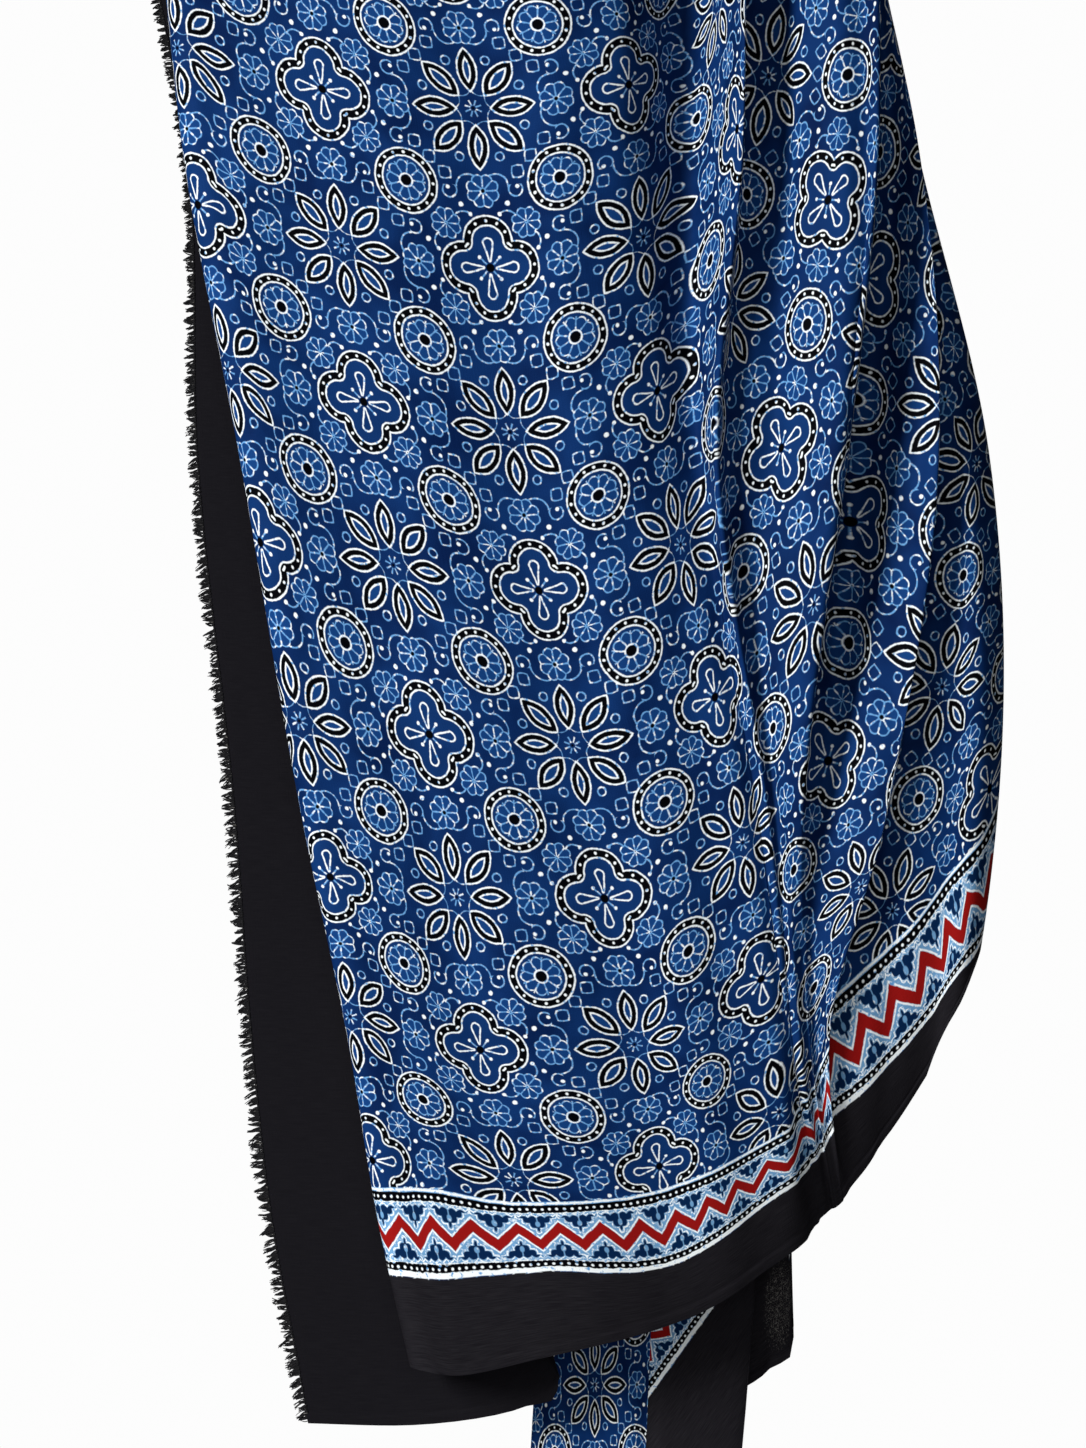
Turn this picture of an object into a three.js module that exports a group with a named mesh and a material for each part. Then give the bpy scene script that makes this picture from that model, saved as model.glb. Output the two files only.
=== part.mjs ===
// A length of block printed silk, hung from its gathered top edge and folded back on itself.
// Millimetres, +Z up. The origin is the middle of the top edge, and the front faces -Y.
import * as THREE from 'three';

// The cloth: one sheet, its section running back and forth from the frayed edge to the tail.
const THICKNESS = 1.6;
const ROWS = 18; // steps from hem to top edge
const STEP = 18; // aim for the width of one facet along the section
const CURL_REACH = 90; // height over which the hem's backward curl dies away

// The fringe along the frayed edge, as one comb.
const FRINGE = { teeth: 64, length: 7.6, spine: 2.2, thickness: 1.2, gap: 0.35, lean: 5, fill: 0.62 };

// Heights, measured down from the top edge, at which each fold's place is given.
const ACROSS_AT = [0, 130, 340, 600, 760, 870, 1020];
const DEPTH_AT = [0, 340, 680, 1020];

// One row for each fold line or panel middle, in the order in which the section passes them.
// across: X at the heights of ACROSS_AT. depth: Y at the heights of DEPTH_AT; negative is forward.
// round: the half turn's reach in X at the heights of DEPTH_AT, on the rows where the cloth doubles back.
// hem: how far below the top edge the hem lies there. curl: how far the hem bends backward.
const FOLDS = [
  { at: 'frayed edge', across: [-259, -236, -229, -202, -190, -178, -151], depth: [37, 37, 37, 37], hem: 1026, curl: 0 },
  { at: 'panel', across: [-220, -200, -182, -147, -130, -112, -90], depth: [40, 41, 41, 40], hem: 1028, curl: 0 },
  { at: 'panel right', across: [-161, -140, -122, -84, -56, -35, 6], depth: [37, 38, 39, 38], hem: 1014, curl: 0 },
  { at: 'back turn', across: [-133, -112, -91, -56, -28, -7, 36], round: [5, 5, 5, 5], hem: 993, curl: 0 },
  { at: 'hidden', across: [-189, -172, -140, -98, -74, -52, -18], depth: [28, 29, 29, 28], hem: 970, curl: 0 },
  { at: 'left fold', across: [-251, -237, -198, -153, -120, -102, -69], round: [14, 14, 14, 13], hem: 983, curl: 0 },
  { at: 'front left', across: [-220, -206, -167, -119, -87, -70, -38], depth: [0, -1, 0, 0], hem: 988, curl: 0 },
  { at: 'first', across: [-146, -133, -104, -52, -28, 0, 29], depth: [-5, -4, -6, -4], hem: 975, curl: 6 },
  { at: 'second', across: [-41, -29, -5, 48, 81, 104, 143], depth: [-8, -6, -10, -4], hem: 948, curl: 26 },
  { at: 'third', across: [71, 78, 99, 153, 179, 197, 231], depth: [-4, -4, -10, 0], hem: 896, curl: 42 },
  { at: 'valley one', across: [119, 119, 126, 167, 188, 204, 237], depth: [40, 10, -6, 9], hem: 889, curl: 44 },
  { at: 'ridge one', across: [157, 155, 137, 174, 190, 209, 239], depth: [-30, -18, -8, 11], hem: 885, curl: 45 },
  { at: 'under one', across: [155, 157, 146, 178, 192, 210, 241], depth: [2, -4, -7, 10], hem: 883, curl: 45 },
  { at: 'panel two', across: [204, 206, 189, 188, 197, 215, 244], depth: [-14, -14, -12, 14], hem: 879, curl: 46 },
  { at: 'ridge two', across: [250, 249, 228, 197, 202, 219, 246], depth: [-26, -30, -10, 14], hem: 876, curl: 47 },
  { at: 'under two', across: [246, 246, 225, 201, 204, 221, 248], depth: [-6, 2, -8, 12], hem: 875, curl: 47 },
  { at: 'valley two', across: [250, 261, 242, 210, 206, 223, 251], depth: [14, 28, -4, 10], hem: 874, curl: 48 },
  { at: 'panel three', across: [253, 274, 270, 231, 210, 227, 253], depth: [12, 4, -6, 12], hem: 871, curl: 48 },
  { at: 'ridge three', across: [254, 280, 293, 255, 217, 229, 254], depth: [18, -8, -13, 19], hem: 868, curl: 48 },
  { at: 'under three', across: [252, 276, 291, 253, 216, 234, 262], depth: [26, 4, -2, 7], hem: 862, curl: 48 },
  { at: 'panel four', across: [250, 274, 299, 277, 254, 255, 266], depth: [30, 9, 1, 14], hem: 833, curl: 40 },
  { at: 'last panel', across: [249, 272, 306, 300, 289, 276, 272], depth: [34, 12, 4, 24], hem: 780, curl: 30 },
  { at: 'right fold', across: [256, 283, 332, 337, 311, 276, 250], round: [5, 20, 12, 8], hem: 690, curl: 0 },
  { at: 'back right', across: [231, 259, 294, 298, 266, 231, 210], depth: [84, 86, 86, 84], hem: 753, curl: 0 },
  { at: 'back two', across: [210, 231, 245, 245, 228, 214, 196], depth: [92, 90, 88, 86], hem: 830, curl: 0 },
  { at: 'back three', across: [189, 196, 202, 200, 196, 194, 193], depth: [80, 82, 84, 86], hem: 900, curl: 0 },
  { at: 'flap edge', across: [182, 186, 188, 190, 192, 193, 197], depth: [84, 84, 84, 86], hem: 970, curl: 0 },
  { at: 'flap', across: [161, 162, 165, 171, 174, 176, 179], depth: [92, 90, 88, 88], hem: 993, curl: 0 },
  { at: 'back four', across: [126, 130, 134, 141, 146, 148, 154], depth: [80, 82, 84, 86], hem: 1010, curl: 0 },
  { at: 'back five', across: [84, 84, 84, 84, 84, 84, 84], depth: [90, 88, 86, 86], hem: 1044, curl: 0 },
  { at: 'tail turn', across: [56, 50, 42, 29, 24, 18, 9], round: [7, 7, 7, 7], hem: 1075, curl: 0 },
  { at: 'tail one', across: [84, 81, 77, 73, 67, 63, 56], depth: [72, 72, 72, 72], hem: 1075, curl: 0 },
  { at: 'tail two', across: [119, 119, 119, 118, 115, 112, 106], depth: [66, 68, 68, 70], hem: 1075, curl: 0 },
  { at: 'tail three', across: [146, 150, 155, 160, 160, 159, 155], depth: [70, 70, 70, 72], hem: 1074, curl: 0 },
  { at: 'tail edge', across: [160, 162, 167, 171, 172, 170, 165], depth: [74, 74, 74, 76], hem: 928, curl: 0 },
];

// Angles at which a half turn is given its own points, from the way in to the way out.
const TURN_ANGLES = [-90, -45, 0, 45, 90];
const TURN_SHARE = 0.5; // how far a turn's ends take on their neighbours' hem and curl

// The slopes of a smooth curve through (xs, ys), weighted by the spans on each side.
function slopesThrough(xs, ys) {
  const rise = xs.slice(1).map((x, k) => (ys[k + 1] - ys[k]) / (x - xs[k]));
  return xs.map((x, k) => {
    if (k === 0) return rise[0];
    if (k === xs.length - 1) return rise[k - 1];
    const before = x - xs[k - 1];
    const after = xs[k + 1] - x;
    return (rise[k - 1] * after + rise[k] * before) / (before + after);
  });
}

// The same slopes held so that the curve never overshoots its points.
function heldSlopes(xs, ys) {
  const rise = xs.slice(1).map((x, k) => (ys[k + 1] - ys[k]) / (x - xs[k]));
  return slopesThrough(xs, ys).map((slope, k) => {
    const before = rise[Math.max(0, k - 1)];
    const after = rise[Math.min(rise.length - 1, k)];
    if (before * after <= 0) return 0;
    const limit = 3 * Math.min(Math.abs(before), Math.abs(after));
    return THREE.MathUtils.clamp(slope, -limit, limit);
  });
}

// The height of the curve with these slopes at x; past the last point it runs on straight.
function cubicAt(xs, ys, slopes, x) {
  const last = xs.length - 1;
  if (x > xs[last]) return ys[last] + slopes[last] * (x - xs[last]);
  let k = 0;
  while (k < last - 1 && x > xs[k + 1]) k += 1;
  const span = xs[k + 1] - xs[k];
  const t = (x - xs[k]) / span;
  const rest = 1 - t;
  return rest * rest * (1 + 2 * t) * ys[k] + t * t * (1 + 2 * rest) * ys[k + 1]
    + t * rest * span * (rest * slopes[k] - t * slopes[k + 1]);
}

const foldCurves = FOLDS.map((fold) => ({
  across: slopesThrough(ACROSS_AT, fold.across),
  second: slopesThrough(DEPTH_AT, fold.depth ?? fold.round),
}));

// Where each fold lies at a given drop below the top edge: X, and Y or the reach of its turn.
function foldsAt(drop) {
  return FOLDS.map((fold, k) => ({
    x: cubicAt(ACROSS_AT, fold.across, foldCurves[k].across, drop),
    y: cubicAt(DEPTH_AT, fold.depth ?? fold.round, foldCurves[k].second, drop),
  }));
}

// The section's points: one for each plain fold, and TURN_ANGLES.length for each half turn.
const knots = FOLDS.flatMap((fold, k) => (fold.round
  ? TURN_ANGLES.map((angle) => ({ fold: k, angle }))
  : [{ fold: k, angle: null }]));

function knotPoint(knot, places) {
  const here = places[knot.fold];
  if (knot.angle === null) return new THREE.Vector2(here.x, here.y);
  const before = places[knot.fold - 1];
  const after = places[knot.fold + 1];
  const side = FOLDS[knot.fold - 1].across[2] < FOLDS[knot.fold].across[2] ? 1 : -1;
  const angle = THREE.MathUtils.degToRad(knot.angle);
  return new THREE.Vector2(
    here.x - side * here.y * (1 - Math.cos(angle)),
    (before.y + after.y) / 2 + (after.y - before.y) / 2 * Math.sin(angle),
  );
}

function knotValue(knot, key) {
  const here = FOLDS[knot.fold][key];
  if (!knot.angle) return here;
  const neighbour = FOLDS[knot.fold + Math.sign(knot.angle)][key];
  const share = TURN_SHARE * (Math.abs(knot.angle) / 90) ** 2;
  return here + (neighbour - here) * share;
}

// A point on the centripetal Catmull-Rom curve between p1 and p2.
function curvePoint(p0, p1, p2, p3, fraction) {
  const ta = Math.max(Math.sqrt(p0.distanceTo(p1)), 0.03);
  const tb = ta + Math.max(Math.sqrt(p1.distanceTo(p2)), 0.03);
  const tc = tb + Math.max(Math.sqrt(p2.distanceTo(p3)), 0.03);
  const t = ta + (tb - ta) * fraction;
  const mix = (a, b, from, to) => a.clone().lerp(b, (t - from) / (to - from));
  const a1 = mix(p0, p1, 0, ta);
  const a2 = mix(p1, p2, ta, tb);
  const a3 = mix(p2, p3, tb, tc);
  const b1 = mix(a1, a2, 0, tb);
  const b2 = mix(a2, a3, ta, tc);
  return mix(b1, b2, ta, tb);
}

function sectionPoint(points, span, fraction) {
  const p1 = points[span];
  const p2 = points[span + 1];
  const p0 = points[span - 1] ?? p1.clone().multiplyScalar(2).sub(p2);
  const p3 = points[span + 2] ?? p2.clone().multiplyScalar(2).sub(p1);
  return curvePoint(p0, p1, p2, p3, fraction);
}

// The columns of the mesh: each stays at one fraction between two knots all the way up.
function meshColumns() {
  const middle = foldsAt(600);
  const top = foldsAt(100);
  const reach = knots.slice(1).map((knot, k) => Math.max(
    knotPoint(knots[k], middle).distanceTo(knotPoint(knot, middle)),
    knotPoint(knots[k], top).distanceTo(knotPoint(knot, top)),
  ));
  const along = [0];
  reach.forEach((length) => along.push(along[along.length - 1] + length));
  const hems = knots.map((knot) => knotValue(knot, 'hem'));
  const curls = knots.map((knot) => knotValue(knot, 'curl'));
  const hemSlopes = heldSlopes(along, hems);
  const curlSlopes = heldSlopes(along, curls);
  const columns = [];
  const add = (span, fraction) => {
    const place = along[span] + fraction * reach[span];
    columns.push({
      span,
      fraction,
      hem: cubicAt(along, hems, hemSlopes, place),
      curl: cubicAt(along, curls, curlSlopes, place),
    });
  };
  reach.forEach((length, span) => {
    const steps = Math.max(1, Math.round(length / STEP));
    for (let k = 0; k < steps; k += 1) add(span, k / steps);
  });
  add(reach.length - 1, 1);
  return columns;
}

// The sheet's middle surface: columns of points, each from its hem up to the top edge.
function middleSurface() {
  return meshColumns().map((column) => Array.from({ length: ROWS + 1 }, (_, row) => {
    const drop = column.hem * (1 - row / ROWS);
    const places = foldsAt(drop);
    const points = knots.map((knot) => knotPoint(knot, places));
    const flat = sectionPoint(points, column.span, column.fraction);
    const curl = column.curl * Math.exp((drop - column.hem) / CURL_REACH);
    return new THREE.Vector3(flat.x, flat.y + curl, -drop);
  }));
}

// The surface's normals; along the top edge they are level, so that the edge is cut flat.
function surfaceNormals(surface) {
  const lastColumn = surface.length - 1;
  return surface.map((column, c) => column.map((point, r) => {
    const along = surface[Math.min(c + 1, lastColumn)][r].clone().sub(surface[Math.max(c - 1, 0)][r]);
    const up = column[Math.min(r + 1, ROWS)].clone().sub(column[Math.max(r - 1, 0)]);
    const normal = up.cross(along);
    if (r === ROWS) normal.z = 0;
    return normal.normalize();
  }));
}

// A closed sheet: both faces offset from the middle surface, joined round the four edges.
function sheetGeometry(surface, thickness) {
  const normals = surfaceNormals(surface);
  const columns = surface.length;
  const rows = ROWS + 1;
  const positions = [];
  [1, -1].forEach((side) => surface.forEach((column, c) => column.forEach((point, r) => {
    const corner = point.clone().addScaledVector(normals[c][r], side * thickness / 2);
    positions.push(corner.x, corner.y, corner.z);
  })));
  const vertex = (face, c, r) => (face * columns + c) * rows + r;
  const triangles = [];
  const quad = (a, b, c, d) => triangles.push(a, b, c, a, c, d);
  for (let c = 0; c < columns - 1; c += 1) {
    for (let r = 0; r < ROWS; r += 1) {
      quad(vertex(0, c, r), vertex(0, c, r + 1), vertex(0, c + 1, r + 1), vertex(0, c + 1, r));
      quad(vertex(1, c, r), vertex(1, c + 1, r), vertex(1, c + 1, r + 1), vertex(1, c, r + 1));
    }
    quad(vertex(0, c, 0), vertex(0, c + 1, 0), vertex(1, c + 1, 0), vertex(1, c, 0));
    quad(vertex(0, c, ROWS), vertex(1, c, ROWS), vertex(1, c + 1, ROWS), vertex(0, c + 1, ROWS));
  }
  for (let r = 0; r < ROWS; r += 1) {
    quad(vertex(0, 0, r), vertex(1, 0, r), vertex(1, 0, r + 1), vertex(0, 0, r + 1));
    const last = columns - 1;
    quad(vertex(0, last, r), vertex(0, last, r + 1), vertex(1, last, r + 1), vertex(1, last, r));
  }
  const geometry = new THREE.BufferGeometry();
  geometry.setAttribute('position', new THREE.Float32BufferAttribute(positions, 3));
  geometry.setIndex(triangles);
  geometry.computeVertexNormals();
  return geometry;
}

// The X of the frayed edge at a height, along the straight facets of the sheet's first column.
function frayedEdgeAt(edge, z) {
  let r = 0;
  while (r < ROWS - 1 && z > edge[r + 1].z) r += 1;
  const t = (z - edge[r].z) / (edge[r + 1].z - edge[r].z);
  return edge[r].x + (edge[r + 1].x - edge[r].x) * t;
}

// The fringe: a spine beside the frayed edge with teeth that lean down, as one flat comb.
function fringeGeometry(surface) {
  const edge = surface[0];
  const inner = edge.map((point) => new THREE.Vector2(point.x - FRINGE.gap, point.z));
  const pitch = (edge[ROWS].z - edge[0].z) / FRINGE.teeth;
  const outerAt = (z, out) => new THREE.Vector2(frayedEdgeAt(edge, z) - FRINGE.gap - out, z);
  const outline = [...inner];
  for (let k = FRINGE.teeth - 1; k >= 0; k -= 1) {
    const low = edge[0].z + (k + (1 - FRINGE.fill) / 2) * pitch;
    const high = low + FRINGE.fill * pitch;
    const tip = Math.max(low - FRINGE.lean, edge[0].z - FRINGE.lean / 2);
    outline.push(outerAt(high, FRINGE.spine));
    outline.push(new THREE.Vector2(frayedEdgeAt(edge, tip + 3) - FRINGE.gap - FRINGE.length, tip + 3));
    outline.push(new THREE.Vector2(frayedEdgeAt(edge, tip) - FRINGE.gap - FRINGE.length, tip));
    outline.push(outerAt(low, FRINGE.spine));
  }
  const comb = new THREE.ExtrudeGeometry(new THREE.Shape(outline), {
    depth: FRINGE.thickness,
    bevelEnabled: false,
  });
  comb.rotateX(Math.PI / 2);
  comb.translate(0, edge[0].y + FRINGE.thickness / 2, 0);
  return comb;
}

const silk = new THREE.MeshStandardMaterial({ color: '#1d3a78', roughness: 0.62, metalness: 0 });
const frayedSilk = new THREE.MeshStandardMaterial({ color: '#26242a', roughness: 0.85, metalness: 0 });

const surface = middleSurface();
const group = new THREE.Group();

const cloth = new THREE.Mesh(sheetGeometry(surface, THICKNESS), silk);
cloth.name = 'printed_cloth';
group.add(cloth);

const fringe = new THREE.Mesh(fringeGeometry(surface), frayedSilk);
fringe.name = 'frayed_fringe';
group.add(fringe);

export default group;
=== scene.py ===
"""Dresses a hung length of block printed silk: its folds, print, border, hem and frayed fringe."""

import math
from types import SimpleNamespace

import bmesh
import bpy
import numpy as np
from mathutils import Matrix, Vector


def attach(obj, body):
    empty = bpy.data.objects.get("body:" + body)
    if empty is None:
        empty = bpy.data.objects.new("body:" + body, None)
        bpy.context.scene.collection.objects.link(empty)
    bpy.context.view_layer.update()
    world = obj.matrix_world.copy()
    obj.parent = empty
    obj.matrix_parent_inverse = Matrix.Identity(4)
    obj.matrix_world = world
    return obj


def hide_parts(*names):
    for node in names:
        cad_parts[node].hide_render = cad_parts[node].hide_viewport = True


bl_info = {
    "name": "Hung block printed silk",
    "version": (1, 0, 0),
    "blender": (4, 5, 0),
    "location": "View3D > Sidebar > Silk",
    "description": "A hung silk cloth with its block print, border, hem and frayed fringe",
    "category": "Object",
}

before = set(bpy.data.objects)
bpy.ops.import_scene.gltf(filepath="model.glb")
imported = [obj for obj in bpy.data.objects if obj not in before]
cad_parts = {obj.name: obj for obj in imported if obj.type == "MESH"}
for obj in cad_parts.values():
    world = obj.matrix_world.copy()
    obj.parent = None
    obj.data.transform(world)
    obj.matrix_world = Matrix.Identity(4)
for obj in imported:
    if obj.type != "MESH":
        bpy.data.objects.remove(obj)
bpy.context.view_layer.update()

MM = 0.001

# ---------------------------------------------------------------- the hung sheet's shape
# Millimetres below. The cloth hangs from z = 0, and its section runs back and forth in X
# and Y from the frayed edge to the tail.

# Heights, measured down from the top edge, at which each fold's place is given.
ACROSS_AT = [0, 130, 340, 600, 760, 870, 1020]
DEPTH_AT = [0, 340, 680, 1020]
PRINT_AT = [0, 130, 340, 600, 760, 870]
LEVELS = 216  # level sections along which the print is carried between the folds
EVEN_PRINT = 1.3  # keeps a hidden fold's crowded print from reaching into a panel
LEVEL_ABOVE = 120  # how far up the print follows the hem, before it turns level over as much again
SPACED_AT = np.array([600.0, 100.0])  # heights at which the mesh's columns are spaced out

# One row for each fold line or panel middle, in the order in which the section passes them.
# across: X at the heights of ACROSS_AT. depth: Y at the heights of DEPTH_AT.
# round: the half turn's reach in X, on the rows where the cloth doubles back.
# hem: how far below the top edge the hem lies. curl: how far the hem bends backward.
# repeat: which repeat of the print lies on the fold, at those heights of PRINT_AT it names.
# rise: how many repeats up the print is, at those of PRINT_AT that are above the border.
# border: how far above the hem the plain margin and the border end.
# print_hem: the hem from which these are measured, where the cloth ends short of it.
FOLDS = [
    dict(at="frayed edge", across=[-259, -236, -229, -202, -190, -178, -151],
         depth=[37, 37, 37, 37], hem=1026, curl=0, repeat=[-4.9] * 5),
    dict(at="panel", across=[-220, -200, -182, -147, -130, -112, -90],
         depth=[40, 41, 41, 40], hem=1028, curl=0, repeat=[-4.2] * 5),
    dict(at="panel right", across=[-161, -140, -122, -84, -56, -35, 6],
         depth=[37, 38, 39, 38], hem=1014, curl=0, repeat=[-3.4] * 5),
    dict(at="back turn", across=[-133, -112, -91, -56, -28, -7, 36],
         round=[5, 5, 5, 5], hem=993, curl=0, repeat=[-2.7] * 5),
    dict(at="hidden", across=[-189, -172, -140, -98, -74, -52, -18],
         depth=[28, 29, 29, 28], hem=970, curl=0, repeat=[-1.6] * 5),
    dict(at="left fold", across=[-251, -237, -198, -153, -120, -102, -69],
         round=[14, 14, 14, 13], hem=983, curl=0,
         repeat=[-0.1, -0.12, -0.1, -0.2, -0.1], rise=[7.54, 6.34, 4.53, 2.38, 0.77],
         border=[64, 126]),
    dict(at="front left", across=[-220, -206, -167, -119, -87, -70, -38],
         depth=[0, -1, 0, 0], hem=988, curl=0,
         repeat=[0.28, 0.25, 0.32, 0.23, 0.34], rise=[7.6, 6.42, 4.58, 2.41, 0.83],
         border=[67, 131]),
    dict(at="first", across=[-146, -133, -104, -52, -28, 0, 29],
         depth=[-5, -4, -6, -4], hem=975, curl=6,
         repeat=[1.05, 1, 1, 1, 1], rise=[7.8, 6.62, 4.7, 2.47, 1],
         border=[59, 108]),
    dict(at="second", across=[-41, -29, -5, 48, 81, 104, 143],
         depth=[-8, -6, -10, -4], hem=948, curl=26,
         repeat=[2.1, 2, 2, 2, 2], rise=[7.95, 6.74, 4.89, 2.5, 0.96],
         border=[38, 90]),
    dict(at="third", across=[71, 78, 99, 153, 179, 197, 231],
         depth=[-4, -4, -10, 0], hem=896, curl=42,
         repeat=[3.1, 2.95, 2.96, 3, 3.04], rise=[7.8, 6.58, 4.63, 2.15, 0.44],
         border=[41, 80]),
    dict(at="valley one", across=[119, 119, 126, 167, 188, 204, 237],
         depth=[40, 10, -6, 9], hem=889, curl=44,
         repeat=[3.75, 3.4, 3.27, 3.18, 3.12], rise=[7.5, 6.3, 4.46, 2.03, 0.33],
         border=[40, 86]),
    dict(at="ridge one", across=[157, 155, 137, 174, 190, 209, 239],
         depth=[-30, -18, -8, 11], hem=885, curl=45,
         repeat=[4.5, 4.04, 3.5, 3.29, 3.15], rise=[6.8, 5.87, 4.35, 1.96, 0.3],
         border=[40, 84]),
    dict(at="under one", across=[155, 157, 146, 178, 192, 210, 241],
         depth=[2, -4, -7, 10], hem=883, curl=45,
         repeat=[5.17, 4.61, 3.65, 3.36, 3.18], rise=[6.65, 5.74, 4.22, 1.93, 0.27],
         border=[40, 86]),
    dict(at="panel two", across=[204, 206, 189, 188, 197, 215, 244],
         depth=[-14, -14, -12, 14], hem=879, curl=46,
         repeat=[5.65, 5.08, 4.08, 3.54, 3.24], rise=[6.25, 5.33, 3.94, 1.84, 0.22],
         border=[39, 84]),
    dict(at="ridge two", across=[250, 249, 228, 197, 202, 219, 246],
         depth=[-26, -30, -10, 14], hem=876, curl=47,
         repeat=[6.08, 5.49, 4.5, 3.65, 3.34, 3.5], rise=[5.85, 4.97, 3.68, 1.77, 0.14],
         border=[41, 88]),
    dict(at="under two", across=[246, 246, 225, 201, 204, 221, 248],
         depth=[-6, 2, -8, 12], hem=875, curl=47,
         repeat=[6.9, 6.35, 5.19, 3.7, 3.39, 3.58], rise=[5.5, 4.65, 3.37, 1.74, 0.1],
         border=[42, 89]),
    dict(at="valley two", across=[250, 261, 242, 210, 206, 223, 251],
         depth=[14, 28, -4, 10], hem=874, curl=48,
         repeat=[7, 6.59, 5.32, 3.8, 3.44, 3.65], rise=[5.42, 4.42, 3.26, 1.68, 0.06],
         border=[44, 92]),
    dict(at="panel three", across=[253, 274, 270, 231, 210, 227, 253],
         depth=[12, 4, -6, 12], hem=871, curl=48,
         repeat=[7.05, 6.75, 5.6, 4.02, 3.54, 3.8], rise=[5.38, 4.29, 3.03, 1.54, -0.06],
         border=[47, 99]),
    dict(at="ridge three", across=[254, 280, 293, 255, 217, 229, 254],
         depth=[18, -8, -13, 19], hem=868, curl=48,
         repeat=[7.2, 6.85, 5.77, 4.26, 3.76, 3.95], rise=[5.35, 4.2, 2.88, 1.38],
         border=[50, 112]),
    dict(at="under three", across=[252, 276, 291, 248, 211, 234, 262],
         depth=[26, 4, -2, 7], hem=862, curl=48,
         repeat=[7.95, 7.64, 6.77, 5.15, 4.12, 3.9], rise=[5.25, 4.02, 2.3, 0.62],
         border=[50, 131]),
    dict(at="panel four", across=[250, 274, 299, 277, 254, 255, 266],
         depth=[30, 9, 1, 14], hem=833, curl=40,
         repeat=[8.0, 7.67, 6.83, 5.41, 4.55, 4.2], rise=[5.22, 3.98, 2.25, 0.4],
         border=[52, 148]),
    dict(at="last panel", across=[249, 272, 306, 300, 289, 276, 272],
         depth=[34, 12, 4, 24], hem=780, curl=30,
         repeat=[8.05, 7.7, 6.89, 5.62, 4.9, 4.6], rise=[5.2, 3.95, 2.21, 0.18],
         border=[45, 137]),
    dict(at="right fold", across=[256, 283, 332, 337, 311, 276, 250],
         round=[5, 20, 12, 8], hem=690, curl=0,
         repeat=[8.1, 7.75, 7.16, 6.0, 5.4], rise=[5.2, 3.93, 1.97],
         print_hem=745, border=[59, 160]),
    dict(at="back right", across=[231, 259, 294, 298, 266, 231, 210],
         depth=[84, 86, 86, 84], hem=753, curl=0, repeat=[8.8, 8.6, 8.1, 7.7, 7.4]),
    dict(at="back two", across=[210, 231, 245, 245, 228, 214, 196],
         depth=[92, 90, 88, 86], hem=830, curl=0, repeat=[9.2, 9.1, 8.9, 8.6, 8.4]),
    dict(at="back three", across=[189, 196, 202, 200, 196, 194, 193],
         depth=[80, 82, 84, 86], hem=900, curl=0, repeat=[9.6, 9.6, 9.5, 9.4, 9.3]),
    dict(at="flap edge", across=[182, 186, 188, 190, 192, 193, 197],
         depth=[84, 84, 84, 86], hem=970, curl=0, repeat=[10.1] * 5),
    dict(at="flap", across=[161, 162, 165, 171, 174, 176, 179],
         depth=[92, 90, 88, 88], hem=993, curl=0, repeat=[10.5] * 5),
    dict(at="back four", across=[126, 130, 134, 141, 146, 148, 154],
         depth=[80, 82, 84, 86], hem=1010, curl=0, repeat=[11] * 5),
    dict(at="back five", across=[84, 84, 84, 84, 84, 84, 84],
         depth=[90, 88, 86, 86], hem=1044, curl=0, repeat=[11.8] * 5),
    dict(at="tail turn", across=[56, 50, 42, 29, 24, 18, 9],
         round=[7, 7, 7, 7], hem=1075, curl=0),
    dict(at="tail one", across=[84, 81, 77, 73, 67, 63, 56],
         depth=[72, 72, 72, 72], hem=1075, curl=0),
    dict(at="tail two", across=[119, 119, 119, 118, 115, 112, 106],
         depth=[66, 68, 68, 70], hem=1075, curl=0),
    dict(at="tail three", across=[146, 150, 155, 160, 160, 159, 155],
         depth=[70, 70, 70, 72], hem=1074, curl=0),
    dict(at="tail edge", across=[160, 162, 167, 171, 172, 170, 165],
         depth=[74, 74, 74, 76], hem=928, curl=0),
]

TURN_ANGLES = [-90, -45, 0, 45, 90]
TURN_SHARE = 0.5  # how far a turn's ends take on their neighbours' hem and curl
CURL_REACH = 90  # height over which the hem's backward curl dies away
LEAST_STEP = 0.03  # keeps the section's curve steady where two folds nearly meet

# The print: one repeat, and how far the first row of repeats lies above the hem.
REPEAT = 110
FIRST_ROW = 146
MARGIN_TOP = 64
BORDER_TOP = 126
BLACK_BELOW = -1.0  # the print starts past this repeat, and all before it is plain black
BLACK_FROM = 10.15  # and the flap behind is plain black again up to the tail
TAIL_FROM = 18.0

# The tail's print: a star gathered into its left part, then past a crease the border, askew.
TAIL = dict(star_x=53, star_z=-1003, star=(20, 1), star_scale=(0.52, 0.86), crease_x=90,
            to_hem=(0.81, -0.58), margin_line=36.5, band_scale=(0.75, 0.70))

FRONT = ("left fold", "right fold")  # the folds between which the cloth is finely meshed


def slopes_through(xs, ys):
    """The slopes of a smooth curve through its points, weighted by the spans beside each."""
    rise = np.diff(ys) / np.diff(xs)
    span = np.diff(xs)
    inner = (rise[:-1] * span[1:] + rise[1:] * span[:-1]) / (span[:-1] + span[1:])
    return np.concatenate([rise[:1], inner, rise[-1:]])


def held_slopes(xs, ys, limit):
    """The same slopes held so that the curve never overshoots its points."""
    rise = np.diff(ys) / np.diff(xs)
    before = np.concatenate([rise[:1], rise])
    after = np.concatenate([rise, rise[-1:]])
    most = limit * np.minimum(abs(before), abs(after))
    slopes = np.clip(slopes_through(xs, ys), -most, most)
    return np.where(before * after <= 0, 0, slopes)


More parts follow.
